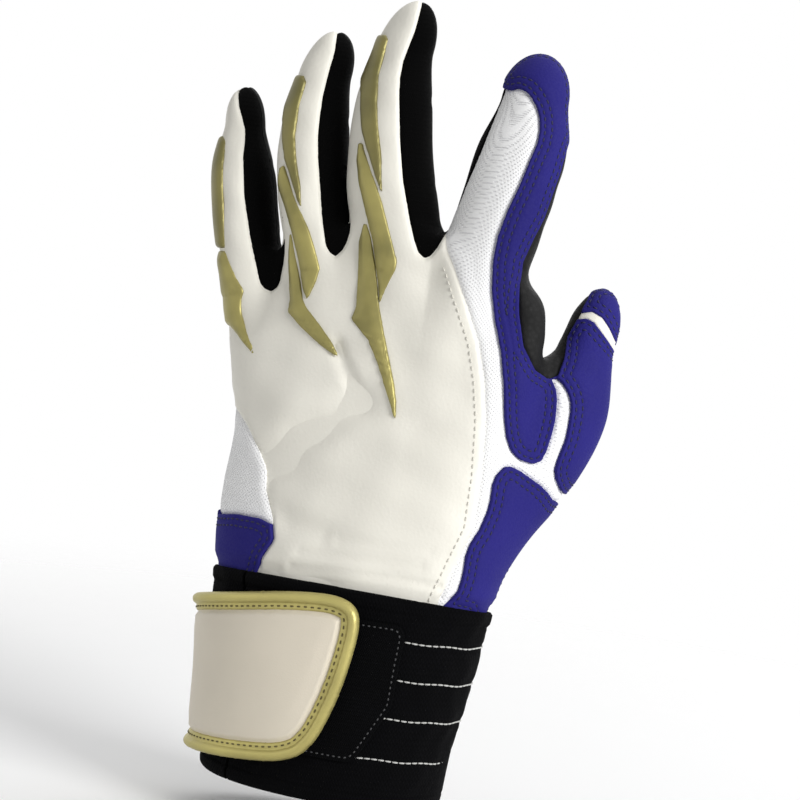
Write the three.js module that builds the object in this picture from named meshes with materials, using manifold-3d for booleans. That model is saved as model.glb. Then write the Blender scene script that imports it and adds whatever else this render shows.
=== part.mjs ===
// Batting glove for the left hand, as worn: fingers up, back of the hand toward -Y, thumb toward +X.
// Millimetres, +Z up. The origin is the centre of the wrist opening, on the cuff's lower rim.

import * as THREE from 'three';
import { mergeVertices } from 'three/addons/utils/BufferGeometryUtils.js';
import Module from 'manifold-3d';

const wasm = await Module();
wasm.setup();

// Thicknesses and gaps
const clearance = 0.3;
const leather = 1.4;
const trimThickness = 1.5;
const weld = 0.0001;

// Cuff and hand
const cuffHeight = 56;
const cuffCrown = 4;
const hemHeight = 5;
const hemProud = 0.5;
const cuffProud = 0.7;
const rootHeight = 162;
const rootDrop = 19;
const wristDepth = 50;
const knuckleDepth = 24;

// Fingers. Widths and depths, where they are thickest, are shares of the index finger's width, and
// lengths from the root line to the tip are shares of the middle finger's. Sway, bow and curl, which
// are how far a finger leans, bulges and bends toward the palm, are shares of its own length.
const fingerGap = 2.4;
const fingerWidth = 28.8;
const fingerLength = 81;
const fingers = [
  {
    name: 'little', widthShare: 0.66, depthShare: 0.66, lengthShare: 0.753, twistAngle: 38,
    swayShare: -0.239, bowShare: 0.015, curlShare: 0.131, girthShares: [0.97, 0.99, 1, 0.98, 0.66],
  },
  {
    name: 'ring', widthShare: 0.757, depthShare: 0.757, lengthShare: 0.901, twistAngle: 19,
    swayShare: -0.105, bowShare: 0.07, curlShare: 0.096, girthShares: [0.95, 0.98, 1, 0.95, 0.78],
  },
  {
    name: 'middle', widthShare: 0.993, depthShare: 0.847, lengthShare: 1, twistAngle: 19,
    swayShare: -0.086, bowShare: 0.074, curlShare: 0.074, girthShares: [0.92, 1, 0.95, 0.86, 0.66],
  },
  {
    name: 'index', widthShare: 1, depthShare: 0.819, lengthShare: 0.87, twistAngle: 12,
    swayShare: 0.078, bowShare: -0.051, curlShare: 0.128, girthShares: [0.95, 0.98, 1, 0.97, 0.76],
  },
].map((shape) => {
  const length = shape.lengthShare * fingerLength;
  return {
    ...shape,
    length,
    width: shape.widthShare * fingerWidth,
    depth: shape.depthShare * fingerWidth,
    sway: shape.swayShare * length,
    bow: shape.bowShare * length,
    curl: shape.curlShare * length,
  };
});
const domeShare = 0.2;

// Thumb: an arc from inside the heel of the hand to the start of its tip. The arc's three points go
// outward by shares of the knuckles' breadth, palmward by the wrist's depth and up by the root height.
const thumbStartShares = [0.322, 0.12, 0.432];
const thumbBendShares = [0.593, 0.22, 0.66];
const thumbTopShares = [0.645, 0.42, 0.895];
const thumbWidth = 29;
const thumbDepth = 28;
const thumbTipLength = 16;
const thumbGirthShares = [0.7, 0.88, 0.98, 0.92, 0.66];
const saddleShares = [0.42, 0.5];
const thumbJointShare = 0.68;

// Closing strap, badge and fastening patches on the cuff
const strapLowShares = [0.1, 0.24];
const strapHighShares = [0.93, 1.036];
const strapThickness = 1.2;
const strapCorner = 9;
const badgeBorder = 5.5;
const badgeThickness = 2.2;
const badgeCentreThickness = 1.2;
const badgeInset = 1.2;
const hookThickness = 0.6;
const loopThickness = 0.8;
const slitWidth = 3;
const pullTabWidth = 20;
const pullTabDrop = 12;
const pullTabLap = 4;
const pullTabThickness = 1.6;
const webThickness = 1.2;
const webWidth = 5;
const webSag = 2.5;

// Angles in degrees, from the middle of the back of the hand toward the thumb
const fingerEdgeAngle = 48;
const thumbEdgeAngle = 66;
const thumbFacingAngle = 62;
const thumbOverlayAngle = 82;
const fingerHingeAngle = 13;
const thumbFoldAngle = -145;
const strapRootAngle = -98;
const badgeStartAngle = -94;
const anchorAngle = -132;
const badgeEndAngles = [12, 23];
const loopEndAngles = [25, 42];
const loopStartAngle = -18;
const slitAngle = -34;
const ulnarAngle = -88;
const ulnarSeamAngle = -68;
const heelAngle = -135;
const radialAngle = 105;
const pullTabAngle = 38;

// Gold trim on the little, ring and middle finger: strip, blade beside it, tail on the hand. The tail's
// start and drift are shares of the finger's width, and its length is a share of the root height.
const stripAngles = [12, 4, 0, 0];
const bladeAngles = [-14, -26, -30];
const pointHalfWidth = 0.4;
const stripHalfWidth = 2.4;
const bladeHalfWidth = 2.8;
const tailHalfWidth = 3.3;
const crest = 0.7;
const trims = [
  {
    stripShares: [0.2, 0.88], bladeShares: [0, 0.3], startShare: -0.29, driftShare: 0.68, tailShare: 0.123,
  },
  {
    stripShares: [0.28, 0.97], bladeShares: [0, 0.46], startShare: -0.09, driftShare: 0.73, tailShare: 0.179,
  },
  {
    stripShares: [0.3, 0.99], bladeShares: [0, 0.5], startShare: -0.09, driftShare: 0.52, tailShare: 0.296,
  },
];

const white = new THREE.MeshStandardMaterial({ color: 0xefece2, roughness: 0.55, metalness: 0 });
const mesh = new THREE.MeshStandardMaterial({ color: 0xdcdcde, roughness: 0.85, metalness: 0 });
const blue = new THREE.MeshStandardMaterial({ color: 0x2e2a91, roughness: 0.6, metalness: 0 });
const black = new THREE.MeshStandardMaterial({ color: 0x101012, roughness: 0.85, metalness: 0 });
const gold = new THREE.MeshStandardMaterial({ color: 0xa09a55, roughness: 0.35, metalness: 0.7 });
const cream = new THREE.MeshStandardMaterial({ color: 0xcfc6b6, roughness: 0.5, metalness: 0 });

const radians = THREE.MathUtils.degToRad;
const mix = THREE.MathUtils.lerp;

// A level direction at an angle from the back of the hand (-Y) toward the thumb (+X)
function levelDirection(angle) {
  return new THREE.Vector3(Math.sin(radians(angle)), -Math.cos(radians(angle)), 0);
}

// Smooth curve through values that stand at equal steps from 0 to 1
function through(values, place) {
  const last = values.length - 1;
  const at = Math.min(Math.max(place, 0), 1) * last;
  const i = Math.min(Math.floor(at), last - 1);
  const f = at - i;
  const before = values[Math.max(i - 1, 0)];
  const after = values[Math.min(i + 2, last)];
  const slopeIn = (values[i + 1] - before) / 2;
  const slopeOut = (after - values[i]) / 2;
  const rise = values[i + 1] - values[i];
  const square = 3 * rise - 2 * slopeIn - slopeOut;
  const cube = slopeIn + slopeOut - 2 * rise;
  return values[i] + f * (slopeIn + f * (square + f * cube));
}

// A closed geometry from loose points and triangles: welded, without slivers, faces outward
function closedGeometry(points, triangles) {
  const loose = new THREE.BufferGeometry();
  loose.setAttribute('position', new THREE.Float32BufferAttribute(points.flatMap((p) => [p.x, p.y, p.z]), 3));
  loose.setIndex(triangles.flat());
  const merged = mergeVertices(loose, weld);
  const place = merged.getAttribute('position');
  const index = merged.getIndex().array;
  const kept = [];
  let volume = 0;
  const [a, b, c] = [new THREE.Vector3(), new THREE.Vector3(), new THREE.Vector3()];
  for (let i = 0; i < index.length; i += 3) {
    const [p, q, r] = index.slice(i, i + 3);
    if (p === q || q === r || r === p) continue;
    kept.push([p, q, r]);
    a.fromBufferAttribute(place, p);
    b.fromBufferAttribute(place, q);
    c.fromBufferAttribute(place, r);
    volume += a.dot(b.cross(c));
  }
  merged.setIndex(kept.flatMap(([p, q, r]) => (volume > 0 ? [p, q, r] : [p, r, q])));
  return merged;
}

// A wall between two skins. Each skin gives a point for (across, along) from 0 to 1.
function wall(outer, inner, columns, rows, ring = false) {
  const points = [];
  const triangles = [];
  const stride = ring ? columns : columns + 1;
  const layer = stride * (rows + 1);
  for (const skin of [outer, inner]) {
    for (let j = 0; j <= rows; j += 1) {
      for (let i = 0; i < stride; i += 1) points.push(skin(i / columns, j / rows));
    }
  }
  const at = (side, i, j) => side * layer + j * stride + (i % stride);
  const quad = (p, q, r, s) => triangles.push([p, q, r], [p, r, s]);
  for (let j = 0; j < rows; j += 1) {
    for (let i = 0; i < columns; i += 1) {
      quad(at(0, i, j), at(0, i + 1, j), at(0, i + 1, j + 1), at(0, i, j + 1));
      quad(at(1, i, j), at(1, i, j + 1), at(1, i + 1, j + 1), at(1, i + 1, j));
    }
  }
  for (let i = 0; i < columns; i += 1) {
    quad(at(0, i, 0), at(1, i, 0), at(1, i + 1, 0), at(0, i + 1, 0));
    quad(at(0, i, rows), at(0, i + 1, rows), at(1, i + 1, rows), at(1, i, rows));
  }
  if (!ring) {
    for (let j = 0; j < rows; j += 1) {
      quad(at(0, 0, j), at(0, 0, j + 1), at(1, 0, j + 1), at(1, 0, j));
      quad(at(0, columns, j), at(1, columns, j), at(1, columns, j + 1), at(0, columns, j + 1));
    }
  }
  return closedGeometry(points, triangles);
}

// A tube that closes on itself: a profile of several points carried round a loop
function loop(profilePoint, steps, profileSteps) {
  const points = [];
  const triangles = [];
  for (let i = 0; i < steps; i += 1) {
    for (let k = 0; k < profileSteps; k += 1) points.push(profilePoint(i, k));
  }
  const at = (i, k) => (i % steps) * profileSteps + (k % profileSteps);
  for (let i = 0; i < steps; i += 1) {
    for (let k = 0; k < profileSteps; k += 1) {
      triangles.push([at(i, k), at(i + 1, k), at(i + 1, k + 1)], [at(i, k), at(i + 1, k + 1), at(i, k + 1)]);
    }
  }
  return closedGeometry(points, triangles);
}

// A solid tube with both ends closed, for cuts
function plug(skin, columns, rows) {
  const points = [];
  const triangles = [];
  for (let j = 0; j <= rows; j += 1) {
    for (let i = 0; i < columns; i += 1) points.push(skin(i / columns, j / rows));
  }
  const centre = (j) => {
    const middle = new THREE.Vector3();
    for (let i = 0; i < columns; i += 1) middle.addScaledVector(points[j * columns + i], 1 / columns);
    return points.push(middle) - 1;
  };
  const [low, high] = [centre(0), centre(rows)];
  const at = (i, j) => j * columns + (i % columns);
  for (let i = 0; i < columns; i += 1) {
    triangles.push([low, at(i + 1, 0), at(i, 0)], [high, at(i, rows), at(i + 1, rows)]);
    for (let j = 0; j < rows; j += 1) {
      triangles.push([at(i, j), at(i + 1, j), at(i + 1, j + 1)], [at(i, j), at(i + 1, j + 1), at(i, j + 1)]);
    }
  }
  return closedGeometry(points, triangles);
}

function toSolid(geometry) {
  return new wasm.Manifold(new wasm.Mesh({
    numProp: 3,
    vertProperties: new Float32Array(geometry.getAttribute('position').array),
    triVerts: new Uint32Array(geometry.getIndex().array),
  }));
}

function fromSolid(solid) {
  const { vertProperties, triVerts } = solid.getMesh();
  const geometry = new THREE.BufferGeometry();
  geometry.setAttribute('position', new THREE.Float32BufferAttribute(vertProperties, 3));
  geometry.setIndex(Array.from(triVerts));
  return geometry;
}

function cut(geometry, ...cutters) {
  return fromSolid(cutters.reduce((rest, cutter) => rest.subtract(toSolid(cutter)), toSolid(geometry)));
}

const glove = new THREE.Group();
function add(name, geometry, material) {
  const part = new THREE.Mesh(geometry, material);
  part.name = name;
  glove.add(part);
}

// Places of the finger roots, side by side from the little finger to the index finger
function halfReach(finger) {
  const turn = radians(finger.twistAngle);
  return Math.hypot(finger.width * Math.cos(turn), finger.depth * Math.sin(turn)) / 2;
}
const rootReaches = fingers.map((finger) => halfReach(finger) * finger.girthShares[0]);
const knuckleBreadth = rootReaches.reduce((sum, reach) => sum + 2 * reach, fingerGap * (fingers.length - 1));
const centreShares = [0.02, 0.025, 0.03, 0.08, 0.12, 0.06, 0.014];
const rootPeakShare = 0.06;
const knuckleCentre = knuckleBreadth / 2 * centreShares[6];
const rootPeak = knuckleBreadth * rootPeakShare;
fingers.forEach((finger, i) => {
  const before = rootReaches.slice(0, i).reduce((sum, reach) => sum + 2 * reach + fingerGap, 0);
  finger.rootX = knuckleCentre - knuckleBreadth / 2 + before + rootReaches[i];
});

// The cuff's upper edge is highest over the back of the hand
function cuffTop(angle) {
  return cuffHeight + cuffCrown * (1 + Math.cos(radians(angle))) / 2;
}

// Height of the line along which the fingers bend
function rootLine(x) {
  return rootHeight - rootDrop * ((x - rootPeak) / (knuckleBreadth / 2)) ** 2;
}

// Cross-sections of the hand, at equal steps from the wrist opening up to the finger roots
const breadthShares = [0.81, 0.855, 0.91, 0.93, 0.93, 0.98, 1];
const backShares = [0.98, 1, 1, 0.79, 0.53, 0.27, 0];
const palmShares = [0.98, 1, 1, 0.97, 0.8, 0.45, 0];
const squareShares = [2.15, 2.15, 2.15, 2.3, 2.4, 2.5, 2.5];
function handPoint(angle, z, proud) {
  const place = z / rootHeight;
  const power = 2 / through(squareShares, place);
  const turn = radians(angle);
  const [side, front] = [Math.sin(turn), Math.cos(turn)];
  const depthShares = front > 0 ? backShares : palmShares;
  const depth = mix(knuckleDepth, wristDepth, through(depthShares, place)) / 2 + proud;
  const breadth = through(breadthShares, place) * knuckleBreadth / 2 + proud;
  return new THREE.Vector3(
    through(centreShares, place) * knuckleBreadth / 2 + breadth * Math.sign(side) * Math.abs(side) ** power,
    -depth * Math.sign(front) * Math.abs(front) ** power,
    z,
  );
}
const passes = 8;
function topOfHand(angle) {
  let z = rootHeight;
  for (let i = 0; i < passes; i += 1) z = rootLine(handPoint(angle, z, 0).x) - clearance / 2;
  return z;
}

// A panel of the hand between two angles (functions of height) and two heights (functions of angle)
function handPanel({ from, to, low, high, columns, rows, outside = 0, thickness = leather }) {
  const skin = (proud) => (across, along) => {
    let z = rootHeight * along;
    let angle = 0;
    for (let i = 0; i < passes; i += 1) {
      angle = mix(from(z), to(z), across);
      z = mix(low(angle), high(angle), along);
    }
    return handPoint(angle, z, proud);
  };
  return wall(skin(outside), skin(outside - thickness), columns, rows);
}
const fixed = (value) => () => value;

// How many degrees of the hand's outline a length takes at some angle and height
function degreesFor(length, angle, z) {
  const half = 0.5;
  return length / handPoint(angle - half, z, 0).distanceTo(handPoint(angle + half, z, 0));
}
function seam(angle, z, side) {
  return angle + side * degreesFor(clearance / 2, angle, z);
}

// Digits
function makeFinger(finger) {
  const root = new THREE.Vector3(finger.rootX, 0, rootLine(finger.rootX));
  const turn = radians(finger.twistAngle);
  const sideways = new THREE.Vector3(Math.cos(turn), -Math.sin(turn), 0);
  const facing = new THREE.Vector3(-Math.sin(turn), -Math.cos(turn), 0);
  const centre = (t) => root.clone().add(new THREE.Vector3(
    finger.sway * t - finger.bow * 4 * t * (1 - t),
    finger.curl * t * t,
    finger.length * t,
  ));
  const domeStart = 1 - domeShare;
  const girth = (t) => through(finger.girthShares, t / domeStart);
  const level = (point, t) => {
    const rise = rootLine(point.x) + clearance / 2 - root.z;
    point.z += rise * Math.max(0, 1 - t / domeStart);
    return point;
  };
  return {
    edge: fingerEdgeAngle,
    centre: (t) => centre(t * domeStart),
    sideways: () => sideways,
    facing: () => facing,
    halfWidth: (t) => finger.width / 2 * girth(t * domeStart),
    halfDepth: (t) => finger.depth / 2 * girth(t * domeStart),
    settle: (point, t) => level(point, t * domeStart),
    tip: centre(1).sub(centre(domeStart)),
  };
}

function makeThumb() {
  const place = ([out, palmward, up]) => (
    new THREE.Vector3(out * knuckleBreadth, palmward * wristDepth, up * rootHeight)
  );
  const arc = new THREE.QuadraticBezierCurve3(
    place(thumbStartShares), place(thumbBendShares), place(thumbTopShares),
  );
  const outward = levelDirection(thumbFacingAngle);
  const facing = (t) => {
    const along = arc.getTangent(t);
    return outward.clone().addScaledVector(along, -outward.dot(along)).normalize();
  };
  return {
    edge: thumbEdgeAngle,
    centre: (t) => arc.getPoint(t),
    sideways: (t) => new THREE.Vector3().crossVectors(arc.getTangent(t), facing(t)).normalize(),
    facing,
    halfWidth: (t) => thumbWidth / 2 * through(thumbGirthShares, t),
    halfDepth: (t) => thumbDepth / 2 * through(thumbGirthShares, t),
    settle: (point) => point,
    tip: arc.getTangent(1).multiplyScalar(thumbTipLength),
    along: (t) => arc.getTangent(t),
    reach: arc.getLength(),
  };
}

// A point on a digit's round body: side and front are the sine and cosine of the angle from its back
function digitPoint(digit, t, side, front, proud) {
  const point = digit.centre(t)
    .addScaledVector(digit.sideways(t), (digit.halfWidth(t) + proud) * side)
    .addScaledVector(digit.facing(t), (digit.halfDepth(t) + proud) * front);
  return digit.settle(point, t);
}

// A point on the rounded tip, which is an ellipsoid
function tipPoint(digit, side, front, up, proud) {
  const reach = digit.tip.length() + proud;
  return digitPoint(digit, 1, side, front, proud).addScaledVector(digit.tip, up * reach / digit.tip.length());
}

function seamTurn(digit, t) {
  return clearance / 2 / digit.halfWidth(t);
}

// Back or underside of a digit: a strip over the middle, from t = start up and over half of the tip
function digitStrip(digit, { front = 1, start = 0, end = 2, columns = 4, rows = 10, thickness = leather }) {
  const skin = (proud) => (across, along) => {
    const t = mix(start, end, along);
    const turn = mix(-1, 1, across) * (radians(digit.edge) - seamTurn(digit, Math.min(t, 1)));
    if (t <= 1) return digitPoint(digit, t, Math.sin(turn), front * Math.cos(turn), proud);
    const over = (t - 1) * (Math.PI / 2 - clearance / 2 / digit.tip.length());
    const [rise, stay] = [Math.sin(over), Math.cos(over)];
    return tipPoint(digit, Math.sin(turn), front * Math.cos(turn) * stay, Math.cos(turn) * rise, proud);
  };
  return wall(skin(0), skin(-thickness), columns, rows);
}

// Side gusset of a digit, with a rounded upper end on the tip
function digitSide(digit, { side, start = 0, end = 2, columns = 4, rows = 10, thickness = leather }) {
  const skin = (proud) => (across, along) => {
    const t = mix(start, end, along);
    const turn = radians(digit.edge) + seamTurn(digit, Math.min(t, 1));
    const over = Math.max(0, t - 1) * Math.PI / 2;
    const front = Math.cos(turn) * Math.cos(over) * mix(1, -1, across);
    const up = Math.cos(turn) * Math.sin(over);
    const out = side * Math.sqrt(1 - front * front - up * up);
    if (t <= 1) return digitPoint(digit, t, out, front, proud);
    return tipPoint(digit, out, front, up, proud);
  };
  return wall(skin(0), skin(-thickness), columns, rows);
}

// Raised gold leaf on a digit, with a crest along it: its centre angle and half width vary on the way
function crested(edge) {
  return (across) => edge + crest * (1 - Math.abs(mix(-1, 1, across)));
}
function goldOnDigit(digit, { start, end, angles, halfWidths, rows = 8 }) {
  const skin = (proud) => (across, along) => {
    const t = mix(start, end, along);
    const reach = through(halfWidths, along) / digit.halfWidth(t);
    const turn = radians(through(angles, along)) + mix(-reach, reach, across);
    return digitPoint(digit, t, Math.sin(turn), Math.cos(turn), proud(across));
  };
  return wall(skin(crested(clearance + trimThickness)), skin(() => clearance), 4, rows);
}

const thumb = makeThumb();
const digits = fingers.map(makeFinger);

// Cutters where the thumb meets the hand
const handColumns = 32;
const handInside = plug(
  (around, along) => {
    const z = mix(cuffHeight / 2, rootHeight - rootDrop / 2, along);
    return handPoint(360 * around, z, -leather - clearance);
  },
  handColumns,
  8,
);
const thumbOutside = plug(
  (around, along) => {
    const turn = around * 2 * Math.PI;
    return digitPoint(thumb, along, Math.sin(turn), Math.cos(turn), clearance);
  },
  handColumns,
  8,
);

// Hand panels
const panelLow = (angle) => cuffTop(angle) + clearance;
const shellHeight = rootHeight - cuffHeight;
const heelTopShare = 0.4;
const webLowShare = 0.42;
const thumbHeelShare = 0.3;
const heelTop = cuffHeight + shellHeight * heelTopShare;
const backSeamAngles = [42, 49, 51, 49, 38, 24];
const meshSeamAngles = [70, 74, 76, 74, 68, 60];
const backSeam = (z) => through(backSeamAngles, (z - cuffHeight) / shellHeight);
const panelRows = 10;
const ulnarRows = 4;
const ulnarRow = (row) => mix(panelLow(ulnarAngle), topOfHand(ulnarAngle), row / panelRows);
const ulnarRise = (z) => THREE.MathUtils.smoothstep(z, ulnarRow(ulnarRows - 1), ulnarRow(ulnarRows + 1));
const meshSeam = (z) => through(meshSeamAngles, (z - cuffHeight) / shellHeight);
const ulnarSeam = (z) => mix(ulnarSeamAngle, ulnarAngle, ulnarRise(z));

add('back_panel', handPanel({
  from: (z) => seam(ulnarSeam(z), z, 1),
  to: (z) => seam(backSeam(z), z, -1),
  low: panelLow,
  high: topOfHand,
  columns: 22,
  rows: panelRows,
}), white);
add('side_mesh', cut(handPanel({
  from: (z) => seam(backSeam(z), z, 1),
  to: (z) => seam(meshSeam(z), z, -1),
  low: panelLow,
  high: topOfHand,
  columns: 6,
  rows: panelRows,
}), thumbOutside), mesh);
add('ulnar_mesh', handPanel({
  from: (z) => seam(ulnarAngle, z, 1),
  to: (z) => seam(ulnarSeam(z), z, -1),
  low: panelLow,
  high: fixed(ulnarRow(ulnarRows)),
  columns: 3,
  rows: ulnarRows,
}), mesh);
add('web_overlay', cut(handPanel({
  from: (z) => seam(meshSeam(z), z, 1),
  to: (z) => seam(radialAngle, z, -1),
  low: fixed(cuffHeight + shellHeight * webLowShare),
  high: topOfHand,
  columns: 4,
  rows: 8,
}), thumbOutside), blue);
add('thumb_heel_overlay', cut(handPanel({
  from: (z) => seam(meshSeam(z), z, 1),
  to: (z) => seam(radialAngle, z, -1),
  low: panelLow,
  high: fixed(cuffHeight + shellHeight * thumbHeelShare),
  columns: 4,
  rows: 4,
}), thumbOutside), blue);
add('palm_panel', cut(handPanel({
  from: (z) => seam(radialAngle, z, 1),
  to: (z) => seam(ulnarAngle + 360, z, -1),
  low: fixed(heelTop + clearance / 2),
  high: topOfHand,
  columns: 16,
  rows: 6,
}), thumbOutside), black);
add('palm_heel_pad', cut(handPanel({
  from: (z) => seam(radialAngle, z, 1),
  to: (z) => seam(heelAngle + 360, z, -1),
  low: panelLow,
  high: fixed(heelTop - clearance / 2),
  columns: 10,
  rows: 5,
}), thumbOutside), black);
add('heel_patch', handPanel({
  from: (z) => seam(heelAngle, z, 1),
  to: (z) => seam(ulnarAngle, z, -1),
  low: panelLow,
  high: fixed(heelTop - clearance / 2),
  columns: 5,
  rows: 5,
}), blue);

// Base of the thumb, up to its joint
const thumbGap = clearance / 2 / thumb.reach;
function thumbRoot({ from, to, start, end, columns, rows }) {
  const skin = (proud) => (across, along) => {
    const t = mix(start + thumbGap, end - thumbGap, along);
    const turn = mix(radians(from) + seamTurn(thumb, t), radians(to) - seamTurn(thumb, t), across);
    return digitPoint(thumb, t, Math.sin(turn), Math.cos(turn), proud);
  };
  return cut(wall(skin(0), skin(-leather), columns, rows), handInside);
}
const thumbBack = { from: -thumbOverlayAngle, to: thumbOverlayAngle, columns: 8 };
add('thumb_base_overlay', thumbRoot({ ...thumbBack, start: 0, end: saddleShares[0], rows: 6 }), blue);
add('thumb_saddle', thumbRoot({ ...thumbBack, start: saddleShares[0], end: saddleShares[1], rows: 1 }), mesh);
add('thumb_side_overlay', thumbRoot({
  ...thumbBack, start: saddleShares[1], end: thumbJointShare, rows: 3,
}), blue);
add('thumb_ball', thumbRoot({
  from: thumbOverlayAngle, to: 360 - thumbOverlayAngle, start: 0, end: thumbJointShare, columns: 10, rows: 8,
}), black);

// Webs between the finger roots
function fingerWeb(i) {
  const x = fingers[i].rootX + rootReaches[i] + fingerGap / 2;
  const z = rootLine(x) - clearance;
  const angle = angleAt(x, z);
  const reach = (front) => {
    const skinPoint = handPoint(front > 0 ? angle : 180 - angle, z, -leather - clearance);
    return Math.abs(skinPoint.y);
  };
  const skin = (lowered) => (across, along) => {
    const y = mix(-reach(1), reach(-1), along);
    const spread = webWidth / 2 * (1 + Math.abs(mix(-1, 1, along))) / 2;
    const px = x + mix(-spread, spread, across);
    return new THREE.Vector3(px, y, rootLine(px) - clearance - lowered - webSag * mix(-1, 1, along) ** 2);
  };
  return wall(skin(0), skin(webThickness), 2, 6);
}
function angleAt(x, z) {
  const place = z / rootHeight;
  const share = (x / (knuckleBreadth / 2) - through(centreShares, place)) / through(breadthShares, place);
  const power = 2 / through(squareShares, place);
  return THREE.MathUtils.radToDeg(Math.asin(Math.sign(share) * Math.min(1, Math.abs(share)) ** (1 / power)));
}
['little_ring_web', 'ring_middle_web', 'middle_index_web'].forEach((name, i) => {
  add(name, fingerWeb(i), black);
});

// Fingers
const tipStart = 1;
const tipGap = (digit) => clearance / digit.tip.length();
fingers.forEach((finger, i) => {
  const digit = digits[i];
  const { name } = finger;
  if (name === 'index') {
    add('index_back_mesh', digitStrip(digit, { end: tipStart, rows: 6 }), mesh);
    add('index_tip_overlay', digitStrip(digit, { start: tipStart + tipGap(digit), rows: 4 }), blue);
    add('index_side_overlay', digitSide(digit, { side: 1 }), blue);
  } else {
    add(`${name}_back`, digitStrip(digit, {}), white);
    add(`${name}_thumb_side`, digitSide(digit, { side: 1 }), black);
  }
  add(`${name}_outer_side`, digitSide(digit, { side: -1 }), black);
  add(`${name}_underside`, digitStrip(digit, { front: -1 }), black);
  if (!trims[i]) return;
  add(`${name}_gold_strip`, goldOnDigit(digit, {
    start: trims[i].stripShares[0],
    end: trims[i].stripShares[1],
    angles: stripAngles,
    halfWidths: [pointHalfWidth, stripHalfWidth, stripHalfWidth, stripHalfWidth, pointHalfWidth],
  }), gold);
  add(`${name}_gold_blade`, goldOnDigit(digit, {
    start: trims[i].bladeShares[0],
    end: trims[i].bladeShares[1],
    angles: bladeAngles,
    halfWidths: [bladeHalfWidth, bladeHalfWidth, pointHalfWidth],
  }), gold);
  add(`${name}_gold_tail`, goldTail(finger, trims[i]), gold);
});

// Tail of the gold trim, running down the back of the hand
function goldTail(finger, trim) {
  const x = (along) => finger.rootX + finger.width * (trim.startShare + trim.driftShare * along * along);
  const skin = (proud) => (across, along) => {
    const top = rootLine(x(0)) - clearance / 2;
    const z = top - rootHeight * trim.tailShare * along;
    const centre = angleAt(x(along), z);
    const spread = degreesFor(through([tailHalfWidth, tailHalfWidth, pointHalfWidth], along), centre, z);
    const angle = centre + mix(-spread, spread, across);
    const out = proud(across);
    const height = along === 0 ? rootLine(handPoint(angle, z, out).x) - clearance / 2 : z;
    return handPoint(angle, height, out);
  };
  return wall(skin(crested(2 * clearance + trimThickness)), skin(() => 2 * clearance), 4, 8);
}

// Thumb beyond its joint
const thumbFrom = thumbJointShare + thumbGap;
add('thumb_overlay', digitStrip(thumb, { start: thumbFrom, end: tipStart, columns: 6, rows: 4 }), blue);
add('thumb_tip_cap', digitStrip(thumb, { start: tipStart + tipGap(thumb), columns: 6, rows: 4 }), blue);
add('thumb_underside', digitStrip(thumb, { front: -1, start: thumbFrom, columns: 6, rows: 8 }), black);
add('thumb_inner_side', digitSide(thumb, { side: -1, start: thumbFrom, rows: 8 }), black);
add('thumb_outer_side', digitSide(thumb, { side: 1, start: thumbFrom, rows: 8 }), black);

// Cuff, open at the slit that the strap closes
function cuffBand(low, high, proud, rows) {
  const open = degreesFor(slitWidth / 2, slitAngle, cuffHeight / 2);
  const skin = (out) => (across, along) => {
    const angle = mix(slitAngle + open, slitAngle + 360 - open, across);
    return handPoint(angle, mix(low, high(angle), along), out);
  };
  return wall(skin(proud), skin(-leather), 48, rows);
}
add('cuff', cuffBand(hemHeight + clearance, cuffTop, cuffProud, 4), black);
add('cuff_hem', cuffBand(0, fixed(hemHeight), cuffProud + hemProud, 1), black);

// A flat piece on the cuff, tilted, with its free end rounded and slanted
function cuffRegion({ start, ends, lows, highs, corner, inset = 0 }) {
  const round = (left) => (left < corner ? corner - Math.sqrt(corner ** 2 - (corner - left) ** 2) : 0);
  const end = (z) => mix(ends[0], ends[1], (z - lows[1]) / (highs[1] - lows[1]));
  const breadth = (end(highs[1]) - start) / degreesFor(1, 0, highs[1]);
  return (across, along) => {
    const margin = inset + round((1 - across) * breadth);
    const low = mix(lows[0], lows[1], across) + margin;
    const high = mix(highs[0], highs[1], across) - margin;
    const z = mix(low, high, along);
    const narrow = degreesFor(inset, mix(start, end(z), across), z);
    return [mix(start + narrow, end(z) - narrow, across), z];
  };
}
function cuffPiece(shape, base, thickness, columns) {
  const region = cuffRegion(shape);
  const skin = (proud) => (across, along) => {
    const [angle, z] = region(across, along);
    return handPoint(angle, z, proud);
  };
  return wall(skin(base + thickness), skin(base), columns, 3);
}
const strapColumns = 20;
const strapRows = 6;
const loopBase = cuffProud + clearance;
const hookBase = loopBase + loopThickness + clearance;
const strapBase = hookBase + hookThickness + clearance;
const badgeBase = strapBase + strapThickness + clearance;
const strapLows = strapLowShares.map((share) => share * cuffHeight);
const strapHighs = strapHighShares.map((share) => share * cuffHeight);
const badge = {
  start: badgeStartAngle, ends: badgeEndAngles, lows: strapLows, highs: strapHighs, corner: strapCorner,
};
const loopShape = {
  start: loopStartAngle,
  ends: loopEndAngles,
  lows: [strapLows[1], strapLows[1]],
  highs: [strapHighs[0], strapHighs[0]],
  corner: strapCorner,
};
const hookShape = { ...badge, start: loopStartAngle, inset: badgeBorder };
const strapShape = { ...badge, start: strapRootAngle, inset: badgeInset };
const panelShape = { ...badge, inset: badgeBorder + clearance };
add('loop_patch', cuffPiece(loopShape, loopBase, loopThickness, 10), black);
add('hook_patch', cuffPiece(hookShape, hookBase, hookThickness, 6), black);
add('strap', cuffPiece(strapShape, strapBase, strapThickness, strapColumns), black);
add('badge_panel', cuffPiece(panelShape, badgeBase, badgeCentreThickness, strapColumns), cream);

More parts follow.
